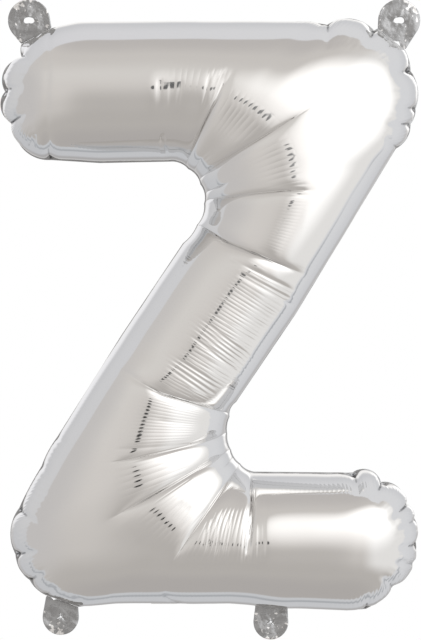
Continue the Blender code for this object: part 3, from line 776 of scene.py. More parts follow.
def pairs(count):
    """Slices that pair up neighbouring rows: 0 with 1, 2 with 3 and so on, and then 1 with 2, 3 with 4."""
    for first in (0, 1):
        end = (count - first) // 2 * 2 + first
        yield slice(first, end, 2), slice(first + 1, end + 1, 2)


class Film:
    """A sheet of film that keeps its lengths, held at its edge, with pressure on its inside."""

    def __init__(self, shape, side, spare=(0.0, 0.0)):
        """Takes the lengths of the film from a shape, with a spare share more along it and across it."""
        self.x = shape.astype(np.float32)
        self.old = self.x.copy()
        self.target = self.x.copy()
        self.side = side
        self.free = np.ones(shape.shape[:2], np.float32)
        self.free[0] = self.free[-1] = 0
        self.free[:, 0] = self.free[:, -1] = 0
        along = lengths(shape[:-1], shape[1:]).astype(float) * (1 + spare[0])
        across = lengths(shape[:, :-1], shape[:, 1:]).astype(float) * (1 + spare[1])
        self.rest_along, self.rest_across = along.astype(np.float32), across.astype(np.float32)
        slant_a = lengths(shape[:-1, :-1], shape[1:, 1:])
        slant_b = lengths(shape[1:, :-1], shape[:-1, 1:])
        lean = (slant_a**2 - slant_b**2) / (slant_a**2 + slant_b**2)
        both = ((along[:, :-1] + along[:, 1:]) / 2) ** 2 + ((across[:-1] + across[1:]) / 2) ** 2
        self.rest_a = np.sqrt(both * (1 + lean)).astype(np.float32)
        self.rest_b = np.sqrt(both * (1 - lean)).astype(np.float32)

    def normals(self):
        """Outward directions, none at the film's edge."""
        x = self.x
        du, dv = np.zeros_like(x), np.zeros_like(x)
        du[1:-1] = x[2:] - x[:-2]
        dv[:, 1:-1] = x[:, 2:] - x[:, :-2]
        return unit(np.cross(du, dv)) * -self.side

    def displace(self, drop):
        """Presses the free points in along their normals, by drop mm."""
        self.x -= self.normals() * (drop * MM * self.free).astype(np.float32)[:, :, None]

    def step(self, hold):
        """Moves the film on under pressure, and takes back a share of its stretch, shear and bends."""
        x, free, target = self.x, self.free, self.target
        before = x.copy()
        x += free[..., None] * (DAMPING * (x - self.old) + PRESSURE * self.normals())
        self.old = before
        x += (hold * free)[..., None] * (target - x)
        for a, b in pairs(len(x)):
            pull(x[a], x[b], self.rest_along[a], free[a], free[b], 1.0)
        for a, b in pairs(x.shape[1]):
            pull(x[:, a], x[:, b], self.rest_across[:, a], free[:, a], free[:, b], 1.0)
        for a, b in pairs(len(x)):
            pull(x[a, :-1], x[b, 1:], self.rest_a[a], free[a, :-1], free[b, 1:], SLANT_PULL)
            pull(x[b, :-1], x[a, 1:], self.rest_b[a], free[b, :-1], free[a, 1:], SLANT_PULL)
        off = (x[:-2] + x[2:]) / 2 - x[1:-1] - ((target[:-2] + target[2:]) / 2 - target[1:-1])
        x[1:-1] += (BENDING * free[1:-1])[..., None] * off


def tent_profile(aside, width):
    """Straight slopes to both sides."""
    return np.clip(1 - aside / width, 0, 1)


def crease_profile(aside, width):
    """A sharp valley."""
    return np.exp(-((aside / width) ** 1.3))


def notch_profile(aside, width):
    """The cusp between two swollen lobes."""
    close = np.clip(1 - aside / width, 0, 1)
    return 1.1 * (1 - np.sqrt(1 - close**2)) - 0.1 * np.clip(2 - aside / width, 0, 1)


def press(drop, plan, start, end, depth, width, shape=crease_profile):
    """Presses one crease into a table of depths. depth holds its value at the start and at the end."""
    ahead = np.subtract(end, start)
    offset = plan - start
    share = np.clip(offset @ ahead / (ahead @ ahead), 0, 1)
    aside = np.sqrt(((offset - share[..., None] * ahead) ** 2).sum(-1))
    level = (depth[0] + (depth[1] - depth[0]) * share) * shape(aside, width)
    np.copyto(drop, level, where=abs(level) > abs(drop))


def creases(plan, rows, shape, random):
    """How deep a table of creases presses every point in, mm."""
    drop = np.zeros(plan.shape[:2])
    for _, x0, z0, x1, z1, deep0, deep1, width in rows:
        size = random.uniform(*CREASE_SIZES)
        depth = (deep0 * size, deep1 * size)
        press(drop, plan, (x0, z0), (x1, z1), depth, width, shape)
    return drop


def gathers(rows):
    """Groups of ripples that fill the room between neighbouring notches of one end or corner."""
    groups = []
    for row, following in zip(rows, rows[1:]):
        if following[0]:
            continue
        apart = math.hypot(following[1] - row[1], following[2] - row[2])
        count = round(apart / GATHER_PITCH)
        if count:
            groups.append(("", *row[1:3], *following[1:3], *row[3:5], *following[3:5], count, GATHER_DEPTH))
    return groups


def ripples(plan, random):
    """How deep the ripples press every point in, mm."""
    drop = np.zeros(plan.shape[:2])
    for _, *corners, count, depth in (*RIPPLES, *gathers(NOTCHES)):
        a, b, c, d = np.array(corners).reshape(4, 2)
        width = max(np.hypot(*(d - c)), np.hypot(*(b - a))) / count * RIPPLE_FILL
        for k in range(count):
            share = (k + 0.5 + random.uniform(-RIPPLE_JITTER, RIPPLE_JITTER)) / count
            start = a + (b - a) * share
            way = c + (d - c) * share - start
            first = random.uniform(*RIPPLE_STARTS)
            knee = random.uniform(*RIPPLE_KNEES)
            last = random.uniform(*RIPPLE_ENDS)
            deep = depth * random.uniform(*RIPPLE_SIZES)
            press(drop, plan, start + way * first, start + way * knee, (deep * RIPPLE_RISE, deep), width)
            press(drop, plan, start + way * knee, start + way * last, (deep, 0.0), width)
    return drop


def undulation(plan, random):
    """Slow unevenness of the blown-up film, mm."""
    total = np.zeros(plan.shape[:2])
    for _ in range(UNDULATIONS):
        heading = random.uniform(0, math.pi)
        length = random.uniform(*UNDULATION_LENGTHS)
        wave = 2 * math.pi / length * (plan @ (math.cos(heading), math.sin(heading)))
        total += length / UNDULATION_LENGTHS[1] * np.sin(wave + random.uniform(0, 2 * math.pi))
    return total * UNDULATION_DEPTH


def seam_puckers(letter, shape, random):
    """Fine puckers that run in from the weld all the way round, stronger at its lobes, mm."""
    total = np.zeros(shape.shape[:2])
    for edge, axis in ((shape[:, 0], 1), (shape[:, -1], 1), (shape[0], 0), (shape[-1], 0)):
        along = way_along(edge)
        drift = np.sin(along / PUCKER_DRIFT)
        wave = np.zeros(len(along))
        for pitch in PUCKER_PITCHES:
            wave += np.sin(2 * math.pi * along / pitch + random.uniform(0, 2 * math.pi) + drift)
        wave *= 0.6 + 0.4 * np.sin(along / PUCKER_SWELL + random.uniform(0, 2 * math.pi))
        away = lengths(shape, np.expand_dims(edge, axis)) / MM
        total += np.expand_dims(wave, axis) * np.exp(-((away / PUCKER_REACH) ** 1.5))
    return total * (PUCKER_DEPTH + PUCKER_LOBE_DEPTH * lobe_share(letter.grid / MM))


def puckers(letter, shape):
    """For every point: phase and height (mm) of the fine ripples along the weld, and its painted shade."""
    over, under = way_along(shape[:, -1]), way_along(shape[:, 0])
    left, right = way_along(shape[0, ::-1])[::-1], way_along(shape[-1, ::-1])[::-1]
    sides = (
        (shape[:, -1], over, 1),
        (shape[:, 0], under + left[0], 1),
        (shape[0], left, 0),
        (shape[-1], right + over[-1], 0),
    )
    phase = np.zeros(shape.shape[:2])
    total = np.full(shape.shape[:2], 1e-30)
    for edge, run, axis in sides:
        share = np.exp(-lengths(shape, np.expand_dims(edge, axis)) / MM / EDGE_BLEND)
        phase += share * np.expand_dims(run, axis) / FINE_PITCH
        total += share
    plan = letter.grid / MM
    height = FINE_HEIGHT * (FINE_BASE + lobe_share(plan, FINE_LOBE_REACH))
    height *= np.exp(-(((edge_distance(plan) - FINE_MIDDLE) / FINE_SPREAD) ** 2))
    return np.stack([phase / total, height, painted_crease_shade(plan)], axis=-1)


def painted_crease_shade(plan):
    """Painted shade: how far the colour is darkened at the bottoms of the creases and notches, where little
    light reaches.
    """
    dark = np.zeros(plan.shape[:2])
    for _, x0, z0, x1, z1, deep, _, _ in NOTCHES:
        start = np.array([x0, z0])
        end = start + (np.array([x1, z1]) - start) * NOTCH_LINE
        level = NOTCH_PAINTED_SHADE * min(deep / FULL_NOTCH, 1)
        press(dark, plan, start, end, (level, level * NOTCH_FADE), LINE_WIDTH, tent_profile)
    for _, x0, z0, x1, z1, deep0, deep1, _ in CREASES:
        level = (max(deep0, LEAST_CREASE) * CREASE_PAINTED_SHADE, deep1 * CREASE_PAINTED_SHADE)
        if deep0 >= 0:
            press(dark, plan, (x0, z0), (x1, z1), level, LINE_WIDTH, tent_profile)
    return np.clip(dark, 0, 1)


def wrinkles(letter, shape):
    """For every point: phase and height (mm) of the fine ripples across the strokes, and 0."""
    ridge = shape[:, RIDGE_ROW]
    aside = np.sign(np.arange(ROWS + 1) - RIDGE_ROW) * lengths(shape, ridge[:, None]) / MM
    stations = np.arange(letter.stations)
    pitch = np.full(letter.stations, WRINKLE_PITCH)
    height = np.zeros(shape.shape[:2])
    under_fade, over_fade = WRINKLE_FADES
    for first, last, low, high, size, apart in WRINKLES:
        begin = letter.zone_start[first]
        end = letter.zone_start[last] + SPANS[last]
        pitch[begin:end] = apart
        along = np.clip(np.minimum(stations - begin, end - stations) / WRINKLE_FADE, 0, 1)
        across = np.clip(np.minimum((aside - low) / under_fade, (high - aside) / over_fade), 0, 1)
        height = np.maximum(height, size * along[:, None] * across)
    steps = np.concatenate([[0], lengths(ridge[:-1], ridge[1:])]) / MM
    phase = np.cumsum(steps / smooth(pitch, WRINKLE_BLEND))
    phase = np.broadcast_to(phase[:, None], height.shape)
    return np.stack([phase, height, np.zeros_like(height)], axis=-1)


def main_sheet(letter, side, half_depth, steps):
    """A sheet with its creases, relaxed under pressure, and then its notches and ripples."""
    random = np.random.default_rng(SEEDS[side])
    plan = letter.grid / MM
    shape = blown_shape(letter, side, half_depth)
    from_edge = edge_distance(shape) / MM
    folded = creases(plan, CREASES, crease_profile, random)
    folded *= 1 - np.exp(-((edge_distance(plan) / CREASE_START) ** 2))
    film = Film(shape, side)
    film.displace(folded)
    film = Film(film.x, side, SPARE_LENGTH)
    hold = (HOLD + EDGE_HOLD * np.exp(-from_edge / EDGE_HOLD_REACH)).astype(np.float32)
    for _ in range(steps):
        film.step(hold)
    notched = creases(plan, NOTCHES, notch_profile, random)
    fine = ripples(plan, random) + undulation(plan, random) + seam_puckers(letter, shape, random)
    fade = 1 - np.exp(-from_edge / EDGE_FADE)
    film.displace((notched + fine + folded * CREASE_REST) * fade)
    return film.x, {"puckers": puckers(letter, shape), "wrinkles": wrinkles(letter, shape)}


def link(tree, a, b):
    """Links an output of a node to an input."""
    tree.links.new(a, b)


def math_node(tree, operation, a, b=None, c=None):
    """Result of a sum on outputs and numbers."""
    node = tree.nodes.new("ShaderNodeMath")
    node.operation = operation
    for socket, value in zip(node.inputs, (a, b, c)):
        if value is None:
            continue
        if isinstance(value, (int, float)):
            socket.default_value = value
        else:
            link(tree, value, socket)
    return node.outputs[0]


def times(tree, a, b):
    """Product of two outputs, or of an output and a number."""
    return math_node(tree, "MULTIPLY", a, b)


def step_node(tree, value, low, high):
    """0 up to low and 1 from high on, smooth between. With high under low it falls from 1 to 0 instead."""
    node = tree.nodes.new("ShaderNodeMapRange")
    node.interpolation_type = "SMOOTHSTEP"
    link(tree, value, node.inputs["Value"])
    node.inputs["From Min"].default_value = low
    node.inputs["From Max"].default_value = high
    return node.outputs["Result"]


def mix_node(tree, factor, a, b):
    """Mixes two colours, each of them an output or three numbers."""
    node = tree.nodes.new("ShaderNodeMix")
    node.data_type = "RGBA"
    link(tree, factor, node.inputs["Factor"])
    for socket, value in ((node.inputs[6], a), (node.inputs[7], b)):
        if isinstance(value, tuple):
            socket.default_value = (*value, 1)
        else:
            link(tree, value, socket)
    return node.outputs[2]


def split_node(tree, vector):
    """The three parts of a vector."""
    node = tree.nodes.new("ShaderNodeSeparateXYZ")
    link(tree, vector, node.inputs[0])
    return node.outputs


def mark_node(tree, name):
    """What is stored under a name on each point of the mesh."""
    node = tree.nodes.new("ShaderNodeAttribute")
    node.attribute_name = name
    return node.outputs


def noise_node(tree, scale):
    """A noise texture in steps of 1 / scale."""
    node = tree.nodes.new("ShaderNodeTexNoise")
    node.inputs["Scale"].default_value = scale
    return node


def linear(*rgb):
    """Display values from 0 to 1 as linear light."""
    return tuple(c / 12.92 if c <= 0.04045 else ((c + 0.055) / 1.055) ** 2.4 for c in rgb)


def lit(display):
    """Light that the foil reflects as the given display values."""
    return tuple(c / FOIL_REFLECTANCE for c in linear(*display))


def ramp_node(tree, value, rows):
    """Light along a value that runs from -1 to 1. A row holds a value and what is seen there."""
    node = tree.nodes.new("ShaderNodeValToRGB")
    node.color_ramp.interpolation = "EASE"
    link(tree, math_node(tree, "MULTIPLY_ADD", value, 0.5, 0.5), node.inputs[0])
    stops = node.color_ramp.elements
    while len(stops) < len(rows):
        stops.new(1.0)
    for stop, (place, *display) in zip(stops, rows):
        stop.position = (place + 1) / 2
        stop.color = (*lit(display), 1)
    return node.outputs["Color"]


def spot_node(tree, x, z, x_place, z_place, full):
    """1 in an oval of the directions, and 0 outside it. A place holds its centre and half its size."""
    squares = []
    for value, (centre, half) in ((x, x_place), (z, z_place)):
        off = math_node(tree, "DIVIDE", math_node(tree, "SUBTRACT", value, centre), half)
        squares.append(times(tree, off, off))
    return step_node(tree, math_node(tree, "SQRT", math_node(tree, "ADD", *squares)), 1.0, full)


def plain_material(name, colour, roughness, metallic=0.0):
    """A material that is the same all over."""
    made = bpy.data.materials.new(name)
    made.use_nodes = True
    shader = made.node_tree.nodes[SHADER]
    shader.inputs["Base Color"].default_value = colour
    shader.inputs["Roughness"].default_value = roughness
    shader.inputs["Metallic"].default_value = metallic
    return made


def add_bump(tree, height, distance):
    """Gives a material's surface a height."""
    bump = tree.nodes.new("ShaderNodeBump")
    bump.inputs["Distance"].default_value = distance
    link(tree, height, bump.inputs["Height"])
    link(tree, bump.outputs["Normal"], tree.nodes[SHADER].inputs["Normal"])


def ripple_height(tree, name):
    """Height in mm of the ripples that a mark of the mesh describes by their phase and height."""
    phase, height, _ = split_node(tree, mark_node(tree, name)["Vector"])
    noise = noise_node(tree, RIPPLE_DRIFT_SCALE)
    noise.noise_dimensions = "1D"
    link(tree, phase, noise.inputs["W"])
    drift = times(tree, noise.outputs[0], RIPPLE_DRIFT)
    wave = math_node(tree, "SINE", math_node(tree, "MULTIPLY_ADD", phase, math.pi, drift))
    return times(tree, math_node(tree, "ABSOLUTE", wave), height)


def add_ripple_bump(tree, colour):
    """The finest ripples of the film, too small for the mesh, and the painted shade at the bottoms of its
    creases.
    """
    _, _, painted_shade = split_node(tree, mark_node(tree, "puckers")["Vector"])
    # Painted shade: the foil's colour is darkened along the creases and notches
    shaded = mix_node(tree, step_node(tree, painted_shade, *CREASE_SHADING), tuple(colour[:3]), CREASE_SHADE_COLOUR)
    link(tree, shaded, tree.nodes[SHADER].inputs["Base Color"])
    height = math_node(tree, "ADD", ripple_height(tree, "puckers"), ripple_height(tree, "wrinkles"))
    add_bump(tree, height, MM)


def add_grain(tree, colour):
    """Fine grain of crushed foil as a bump, with painted glints: light specks in its colour where the mesh
    is marked for them.
    """
    place = tree.nodes.new("ShaderNodeTexCoord").outputs["Object"]
    grain, sparkle = noise_node(tree, GRAIN_SCALE), noise_node(tree, GLINT_SCALE)
    for noise in (grain, sparkle):
        noise.inputs["Detail"].default_value = 1.0
        link(tree, place, noise.inputs["Vector"])
    add_bump(tree, grain.outputs[0], GRAIN_HEIGHT)
    marked = mark_node(tree, "painted_glint")["Fac"]
    level = math_node(tree, "MULTIPLY_ADD", marked, GLINT_SHARE, sparkle.outputs[0])
    painted_glint = mix_node(tree, step_node(tree, level, *GLINT_LEVEL), tuple(colour[:3]), PAINTED_GLINT_COLOUR)
    link(tree, painted_glint, tree.nodes[SHADER].inputs["Base Color"])


def add_piece(name, vertices, faces, material, body, node):
    """A smooth mesh that rides on a body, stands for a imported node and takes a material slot's finish."""
    mesh = bpy.data.meshes.new(name)
    mesh.from_pydata(vertices.tolist(), [], faces.tolist())
    mesh.shade_smooth()
    mesh.materials.append(material)
    piece = bpy.data.objects.new(name, mesh)
    bpy.context.scene.collection.objects.link(piece)
    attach(piece, body)
    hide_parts(node)
    return piece


def vertex_table(rows, columns, closed_rows=False, closed_columns=False):
    """Vertex numbers in rows and columns, with the first ones again at the end where the mesh closes."""
    index = np.arange(rows * columns).reshape(rows, columns)
    if closed_rows:
        index = np.vstack([index, index[:1]])
    if closed_columns:
        index = np.hstack([index, index[:, :1]])
    return index


def strip_faces(index):
    """Faces between the rows and columns of a table of vertex numbers."""
    corners = [index[:-1, :-1], index[1:, :-1], index[1:, 1:], index[:-1, 1:]]
    return np.stack(corners, axis=-1).reshape(-1, 4)


def add_mark(piece, name, values):
    """Stores a number or a vector on each point of a piece."""
    kind, field = ("FLOAT_VECTOR", "vector") if values.ndim == 3 else ("FLOAT", "value")
    mark = piece.data.attributes.new(name, kind, "POINT")
    mark.data.foreach_set(field, values.astype(np.float32).ravel())


def add_sheet(name, points, marks, side, material):
    """One of the two sheets, with the marks that its material reads."""
    stations, rows, _ = points.shape
    faces = strip_faces(vertex_table(stations, rows))
    if side > 0:
        faces = faces[:, ::-1]
    node = "front_sheet" if side < 0 else "back_sheet"
    sheet = add_piece(name, points.reshape(-1, 3), faces, material, "balloon", node)
    for mark, values in marks.items():
        add_mark(sheet, mark, values)


def add_rim(letter, material):
    """The flat weld round the letter, thin and wavy, with its inner edge between the sheets."""
    loop = letter.outline
    inward = -outward_normals(loop)
    layers = []
    for side, section in ((-1, RIM_SECTION), (1, RIM_SECTION[::-1])):
        for inset, half in section:
            plan = loop + inward * inset * MM
            y = weld_wave(plan / MM) + side * half * MM
            layers.append(np.column_stack([plan[:, 0], y, plan[:, 1]]))
    faces = strip_faces(vertex_table(len(layers), len(loop), closed_rows=True, closed_columns=True))
    add_piece("weld_edge", np.concatenate(layers), faces, material, "balloon", "weld_rim")


def touching_point(corner, outward, radius):
    """Where a line from a corner touches a circle round the origin, on the side that outward points to."""
    distance = np.hypot(*corner)
    swing = math.acos(radius / distance)
    touches = []
    for turn in (swing, -swing):
        c, s = math.cos(turn), math.sin(turn)
        turned = np.array([c * corner[0] - s * corner[1], s * corner[0] + c * corner[1]])
        touches.append(turned / distance * radius)
    return max(touches, key=lambda point: (point - corner) @ outward)


def tab_outline(row):
    """Centre of a tab, headings round it, way to its edge in each, and its direction and height."""
    _, x, z, radius, _, x0, z0, x1, z1 = row
    centre, start, end = np.array([x, z]), np.array([x0, z0]), np.array([x1, z1])
    along = (end - start) / np.hypot(*(end - start))
    out = np.array([-along[1], along[0]])
    out *= math.copysign(1, (centre - start) @ out)
    start, end = start + out * TAB_GAP, end + out * TAB_GAP
    angles = np.linspace(0, 2 * math.pi, TAB_SPOKES, endpoint=False)
    heading = np.column_stack([np.cos(angles), np.sin(angles)])
    reach = np.full(TAB_SPOKES, radius)
    height = (centre - start) @ out
    corners = [corner - centre for corner in (start, end)]
    middle = sum(corners) / 2
    for corner in corners:
        if np.hypot(*corner) <= radius:
            continue
        # The side of the root runs from this corner to where it touches the head
        touch = touching_point(corner, corner - middle, radius)
        side = corner - touch
        normal = np.array([side[1], -side[0]]) / np.hypot(*side)
        normal *= math.copysign(1, touch @ normal)
        facing = heading @ normal
        line = (touch @ normal) / np.maximum(facing, LEAST_FACING)
        along_side = (heading * line[:, None] - touch) @ side / (side @ side)
        bounds = (along_side > 0) & (along_side < SIDE_END) & (facing > LEAST_FACING)
        reach = np.where(bounds, np.maximum(reach, line), reach)
    down = heading @ -out
    to_root = height / np.maximum(down, LEAST_FACING)
    reach = np.where(down > LEAST_FACING, np.minimum(reach, to_root), reach)
    return centre, heading, reach, out, height


def hole_edge(hole, angles, seed):
    """Radius of a tab's hole in each direction: punched and pulled to an oval, or torn to a small star."""
    if hole > PUNCHED_HOLE:
        return hole * (1 + HOLE_OVAL * np.cos(angles * 2) + HOLE_WOBBLE * np.sin(angles * 3 + seed))
    edge = np.full(TAB_SPOKES, TORN_HOLE)
    for tear, length in TEARS:
        off = np.angle(np.exp(1j * (angles - math.radians(tear))))
        edge = np.maximum(edge, length * np.exp(-((off / TEAR_WIDTH) ** 2)))
    return hole * edge


def crumple(plan, random, count, size, pitches):
    """Crossing folds with flat faces between them, like foil that was crushed and smoothed out."""
    total = np.zeros(plan.shape[:-1])
    for _ in range(count):
        heading = random.uniform(0, math.pi)
        pitch = random.uniform(*pitches)
        place = plan @ (math.cos(heading), math.sin(heading)) / pitch + random.uniform(0, 1)
        total += pitch * (2 * abs(place % 1 - 0.5) - 0.5)
    return total * size / count


def add_tab(row, seed, thickness, material):
    """A crumpled, punched tab: rings from the hole to the edge, front and back."""
    name, _, _, head, hole, *_ = row
    random = np.random.default_rng(seed)
    centre, heading, reach, out, height = tab_outline(row)
    angles = np.arctan2(heading[:, 1], heading[:, 0])
    inner = hole_edge(hole, angles, seed)
    share = np.linspace(0, 1, TAB_RINGS)[:, None]
    radius = inner + (reach - inner) * share
    plan = centre + heading[None] * radius[:, :, None]
    from_root = height + (plan - centre) @ out
    size, count, pucker_reach = HOLE_PUCKER
    pucker = size * np.sin(angles * count + seed)[None, :] * np.exp(-(radius - inner) / pucker_reach)
    bulge = sum(crumple(plan, random, *folds) for folds in TAB_FOLDS) + pucker
    bulge += TAB_WAVE * np.sin(plan @ (0.32, 0.21) + seed)
    bulge *= 1 - np.exp(-((np.maximum(from_root, 0) / TAB_FOLD) ** 2))
    bulge -= TAB_LEAN * from_root
    half = np.where((share > 0) & (share < 1), 1.0, TAB_EDGE) * thickness / MM / 2
    x, z = plan[:, :, 0], plan[:, :, 1]
    front, back = (np.stack([x, bulge + side * half, z], axis=-1) for side in (-1, 1))
    points = np.concatenate([front, back[::-1]]) * MM
    index = vertex_table(2 * TAB_RINGS, TAB_SPOKES, closed_rows=True, closed_columns=True)
    faces = strip_faces(index)[:, ::-1]
    tab = add_piece(name + "_foil", points.reshape(-1, 3), faces, material, name, name)
    # Where painted glints lighten the tab's colour: most round its tip, some at the edge of its head
    near_tip = np.exp(-((np.linalg.norm(plan - (centre + out * head), axis=-1) / TAB_GLINT) ** 2))
    most, start = TAB_EDGE_GLINT
    painted_glint = near_tip + most * np.clip((radius / head - start) / (1 - start), 0, 1)
    add_mark(tab, "painted_glint", np.concatenate([painted_glint, painted_glint[::-1]]))


def add_neck(material):
    """The flat filling tail, curled up behind the bottom bar, with long wrinkles and a cut end."""
    x, z, width, curl, turn = NECK
    across = np.linspace(-1, 1, NECK_WIDTHS)[None, :]
    down = np.linspace(0, 1, NECK_LENGTHS)[:, None]
    wobble, wobble_turns = NECK_WOBBLE
    narrow = 1 - NECK_WAIST * np.sin(down * math.pi) + wobble * np.sin(down * wobble_turns)
    height, turns, sway, sway_turns = NECK_LONG_WRINKLES
    wrinkle = height * np.sin(across * turns + sway * np.sin(down * sway_turns))
    height, turns, slant = NECK_CROSS_WRINKLES
    wrinkle = wrinkle + height * np.sin(down * turns + across * slant)
    wrinkle = wrinkle * np.minimum(down * NECK_RISE, 1)
    layers = []
    for side in (-1, 1):
        radius = curl + wrinkle - side * NECK_THICKNESS / 2
        layers.append(np.stack([
            x + across * width / 2 * narrow,
            radius * np.sin(down * turn),
            z + curl - radius * np.cos(down * turn),
        ], axis=-1))
    front, back = layers
    points = np.concatenate([front, back[::-1]]) * MM
    faces = strip_faces(vertex_table(2 * NECK_LENGTHS, NECK_WIDTHS, closed_rows=True))
    add_piece("neck_tail", points.reshape(-1, 3), faces, material, "neck", "fill_neck")


def patched(tree, light, values, patches):
    """The light with patches of other light in it, by the values of the ray that they name."""
    for _, display, strength, ranges in patches:
        share = None
        for value, begin, full in ranges:
            step = step_node(tree, values[value], begin, full)
            share = step if share is None else times(tree, share, step)
        light = mix_node(tree, times(tree, share, strength), light, lit(display))
    return light


def rear_light(tree, values):
    """Light from behind the letter."""
    x, y, z = (values[name] for name in "xyz")
    left, right = (ramp_node(tree, z, rows) for rows in (LEFT_REAR_LIGHT, RIGHT_REAR_LIGHT))
    light = mix_node(tree, step_node(tree, x, *SIDE_BLEND), left, right)
    light = patched(tree, light, values, REAR_PATCHES)
    straight = step_node(tree, y, *STRAIGHT_BACK)
    light = mix_node(tree, straight, light, ramp_node(tree, z, STRAIGHT_REAR_LIGHT))
    light = mix_node(tree, spot_node(tree, x, z, *WINDOW_SPOT), light, lit(WINDOW_LIGHT))
    bright = times(tree, spot_node(tree, x, z, *BRIGHT_SPOT), straight)
    return mix_node(tree, bright, light, lit(BRIGHT_LIGHT))


def build_world(scene):
    """The room as light by direction: x points right, y away from the camera and z up."""
    world = bpy.data.worlds.new("studio_light")
    world.use_nodes = True
    scene.world = world
    tree = world.node_tree
    x, y, z = split_node(tree, tree.nodes.new("ShaderNodeTexCoord").outputs["Generated"])
    way_down = math_node(tree, "MAXIMUM", times(tree, z, -1.0), LEAST_WAY_DOWN)
    values = {"x": x, "y": y, "z": z, "slope": math_node(tree, "DIVIDE", y, way_down)}
    front = patched(tree, ramp_node(tree, z, FRONT_LIGHT), values, FRONT_PATCHES)
    limit = math_node(tree, "MAXIMUM", *(times(tree, z, slope) for slope in REAR_START))
    behind = step_node(tree, math_node(tree, "SUBTRACT", y, limit), *REAR_BLEND)
    around = mix_node(tree, behind, front, rear_light(tree, values))
    camera = times(tree, spot_node(tree, x, z, *CAMERA_SPOT), math_node(tree, "LESS_THAN", y, 0.0))
    seen = mix_node(tree, camera, around, CAMERA_COLOUR)
    path = tree.nodes.new("ShaderNodeLightPath")
    colour = mix_node(tree, path.outputs["Is Camera Ray"], seen, BACKDROP_COLOUR)
    link(tree, colour, tree.nodes["Background"].inputs["Color"])


def build_camera(scene):
    """The camera, straight in front and so far off that its frame is VIEW_HEIGHT tall at the letter."""
    camera = bpy.data.objects.new("camera", bpy.data.cameras.new("camera"))
    scene.collection.objects.link(camera)
    camera.data.lens = LENS
    distance = VIEW_HEIGHT * LENS / camera.data.sensor_width
    camera.location = VIEW_CENTRE + Vector((0, -distance, 0))
    camera.rotation_euler = (math.pi / 2, 0, 0)
    scene.camera = camera


def build_floor():
    """A plain pale floor under the letter, which its foil doesn't mirror."""
    bpy.ops.mesh.primitive_plane_add(size=FLOOR_SIZE, location=(0, 0, CAD_BOX[0].z - FLOOR_DROP))
    floor = bpy.context.object
    floor.name = "floor"
    floor.data.materials.append(plain_material("floor_paint", FLOOR_COLOUR, FLOOR_ROUGHNESS))
    floor.visible_glossy = False


def build_softbox(scene):
    """A large softbox at the front right, brightest near its middle and soft all round."""
    light = bpy.data.lights.new("softbox", "AREA")
    light.shape = "RECTANGLE"
    light.size = SOFTBOX_WIDTH
    light.size_y = SOFTBOX_HEIGHT
    light.energy = SOFTBOX_RADIANCE * math.pi * SOFTBOX_WIDTH * SOFTBOX_HEIGHT
    light.use_nodes = True
    tree = light.node_tree
    place = tree.nodes.new("ShaderNodeNewGeometry").outputs["Parametric"]
    squares = []
    for value, peak in zip(split_node(tree, place), SOFTBOX_PEAK):
        off = math_node(tree, "SUBTRACT", value, peak)
        before = math_node(tree, "DIVIDE", off, -peak)
        after = math_node(tree, "DIVIDE", off, 1 - peak)
        farther = math_node(tree, "MAXIMUM", before, after)
        squares.append(times(tree, farther, farther))
    away = math_node(tree, "SQRT", math_node(tree, "ADD", *squares))
    strength = step_node(tree, away, *SOFTBOX_FALLOFF)
    link(tree, strength, tree.nodes["Emission"].inputs["Strength"])
    lamp = bpy.data.objects.new("softbox", light)
    lamp.location = SOFTBOX_PLACE
    lamp.rotation_euler = (math.pi / 2, 0, SOFTBOX_TURN)
    lamp.visible_camera = False
    scene.collection.objects.link(lamp)


class FOILBALLOON_PG_settings(bpy.types.PropertyGroup):
    """Sizes and colours of the foil balloon"""

    extra_depth: bpy.props.FloatProperty(
        name="Extra depth", description="How much farther from the weld each sheet is laid out",
        unit="LENGTH", default=0.0,
    )
    tab_thickness: bpy.props.FloatProperty(
        name="Tab thickness", description="Thickness of the doubled film of the tabs", unit="LENGTH",
        min=0, default=0.5 * MM,
    )
    colour: bpy.props.FloatVectorProperty(
        name="Foil colour", description="Colour of the metallised film", subtype="COLOR", size=4,
        min=0, max=1, default=(0.80, 0.795, 0.79, 1.0),
    )
    roughness: bpy.props.FloatProperty(
        name="Roughness", description="How blurred the foil's reflections are", default=0.06, min=0, max=1,
    )
    # A darker grey than the foil, for the tabs and the weld: painted shade for the dark surroundings of the
    # camera that their flat film mirrors
    tab_colour_and_shade: bpy.props.FloatVectorProperty(
        name="Tab colour", description="Colour of the doubled film of the tabs", subtype="COLOR", size=4,
        min=0, max=1, default=(0.395, 0.402, 0.412, 1.0),
    )
    tab_roughness: bpy.props.FloatProperty(
        name="Tab roughness", description="How blurred the tabs' reflections are",
        default=0.22, min=0, max=1,
    )
    steps: bpy.props.IntProperty(
        name="Settling steps", description="Steps that the film is relaxed for", default=200, min=0,
    )


class FOILBALLOON_OT_sheets(bpy.types.Operator):
    """Add the two blown-up foil sheets"""

    bl_idname = "foilballoon.sheets"
    bl_label = "Foil sheets"

    def execute(self, context):
        settings = context.scene.foilballoon
        letter = Letter()
        foil = plain_material("foil", settings.colour, settings.roughness, metallic=1.0)
        add_ripple_bump(foil.node_tree, settings.colour)
        for name, side in (("front_film", -1), ("back_film", 1)):
            steps = settings.steps
            points, marks = main_sheet(letter, side, HALF_DEPTH + settings.extra_depth, steps)
            add_sheet(name, points, marks, side, foil)
        return {"FINISHED"}


class FOILBALLOON_OT_weld(bpy.types.Operator):
    """Add the flat weld round the letter"""

    bl_idname = "foilballoon.weld"
    bl_label = "Weld"

    def execute(self, context):
        settings = context.scene.foilballoon
        # The weld's darker grey is painted shade for the dark surroundings of the camera that its flat film
        # mirrors
        add_rim(Letter(), plain_material("weld", settings.tab_colour_and_shade, settings.tab_roughness, metallic=1.0))
        return {"FINISHED"}


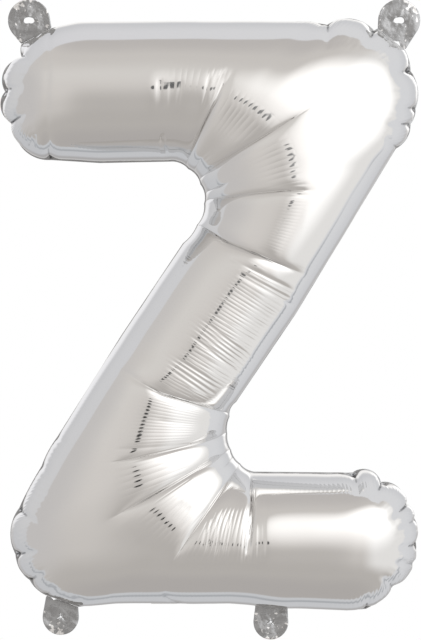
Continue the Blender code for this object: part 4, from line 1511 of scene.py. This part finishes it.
class FOILBALLOON_OT_tabs(bpy.types.Operator):
    """Add the four punched hanging tabs"""

    bl_idname = "foilballoon.tabs"
    bl_label = "Hanging tabs"

    def execute(self, context):
        settings = context.scene.foilballoon
        # The tabs' darker grey is painted shade for the dark surroundings of the camera that their flat
        # film mirrors
        material = plain_material("tab_foil", settings.tab_colour_and_shade, settings.tab_roughness, metallic=1.0)
        add_grain(material.node_tree, settings.tab_colour_and_shade)
        for seed, row in enumerate(TABS, TAB_SEED):
            add_tab(row, seed, settings.tab_thickness, material)
        return {"FINISHED"}


class FOILBALLOON_OT_neck(bpy.types.Operator):
    """Add the filling neck"""

    bl_idname = "foilballoon.neck"
    bl_label = "Filling neck"

    def execute(self, context):
        settings = context.scene.foilballoon
        add_neck(plain_material("neck_foil", settings.colour, settings.tab_roughness, metallic=1.0))
        return {"FINISHED"}


class FOILBALLOON_OT_studio(bpy.types.Operator):
    """Add the floor, the light and the camera"""

    bl_idname = "foilballoon.studio"
    bl_label = "Studio"

    def execute(self, context):
        scene = context.scene
        build_world(scene)
        build_camera(scene)
        build_floor()
        build_softbox(scene)
        scene.view_settings.view_transform = "Standard"
        return {"FINISHED"}


class FOILBALLOON_PT_panel(bpy.types.Panel):
    """Pieces of the foil balloon"""

    bl_idname = "FOILBALLOON_PT_panel"
    bl_label = "Foil balloon"
    bl_space_type = "VIEW_3D"
    bl_region_type = "UI"
    bl_category = "Foil balloon"

    def draw(self, context):
        for operator in OPERATORS:
            self.layout.operator(operator.bl_idname)


OPERATORS = (
    FOILBALLOON_OT_sheets,
    FOILBALLOON_OT_weld,
    FOILBALLOON_OT_tabs,
    FOILBALLOON_OT_neck,
    FOILBALLOON_OT_studio,
)
CLASSES = (FOILBALLOON_PG_settings, *OPERATORS, FOILBALLOON_PT_panel)


def register():
    """Adds the operators, the panel and the settings."""
    for item in CLASSES:
        bpy.utils.register_class(item)
    bpy.types.Scene.foilballoon = bpy.props.PointerProperty(type=FOILBALLOON_PG_settings)


def unregister():
    """Takes them away again."""
    del bpy.types.Scene.foilballoon
    for item in reversed(CLASSES):
        bpy.utils.unregister_class(item)


def main():
    """Builds every piece and the studio."""
    register()
    bpy.ops.foilballoon.sheets()
    bpy.ops.foilballoon.weld()
    bpy.ops.foilballoon.tabs()
    bpy.ops.foilballoon.neck()
    bpy.ops.foilballoon.studio()


if __name__ == "__main__":
    main()
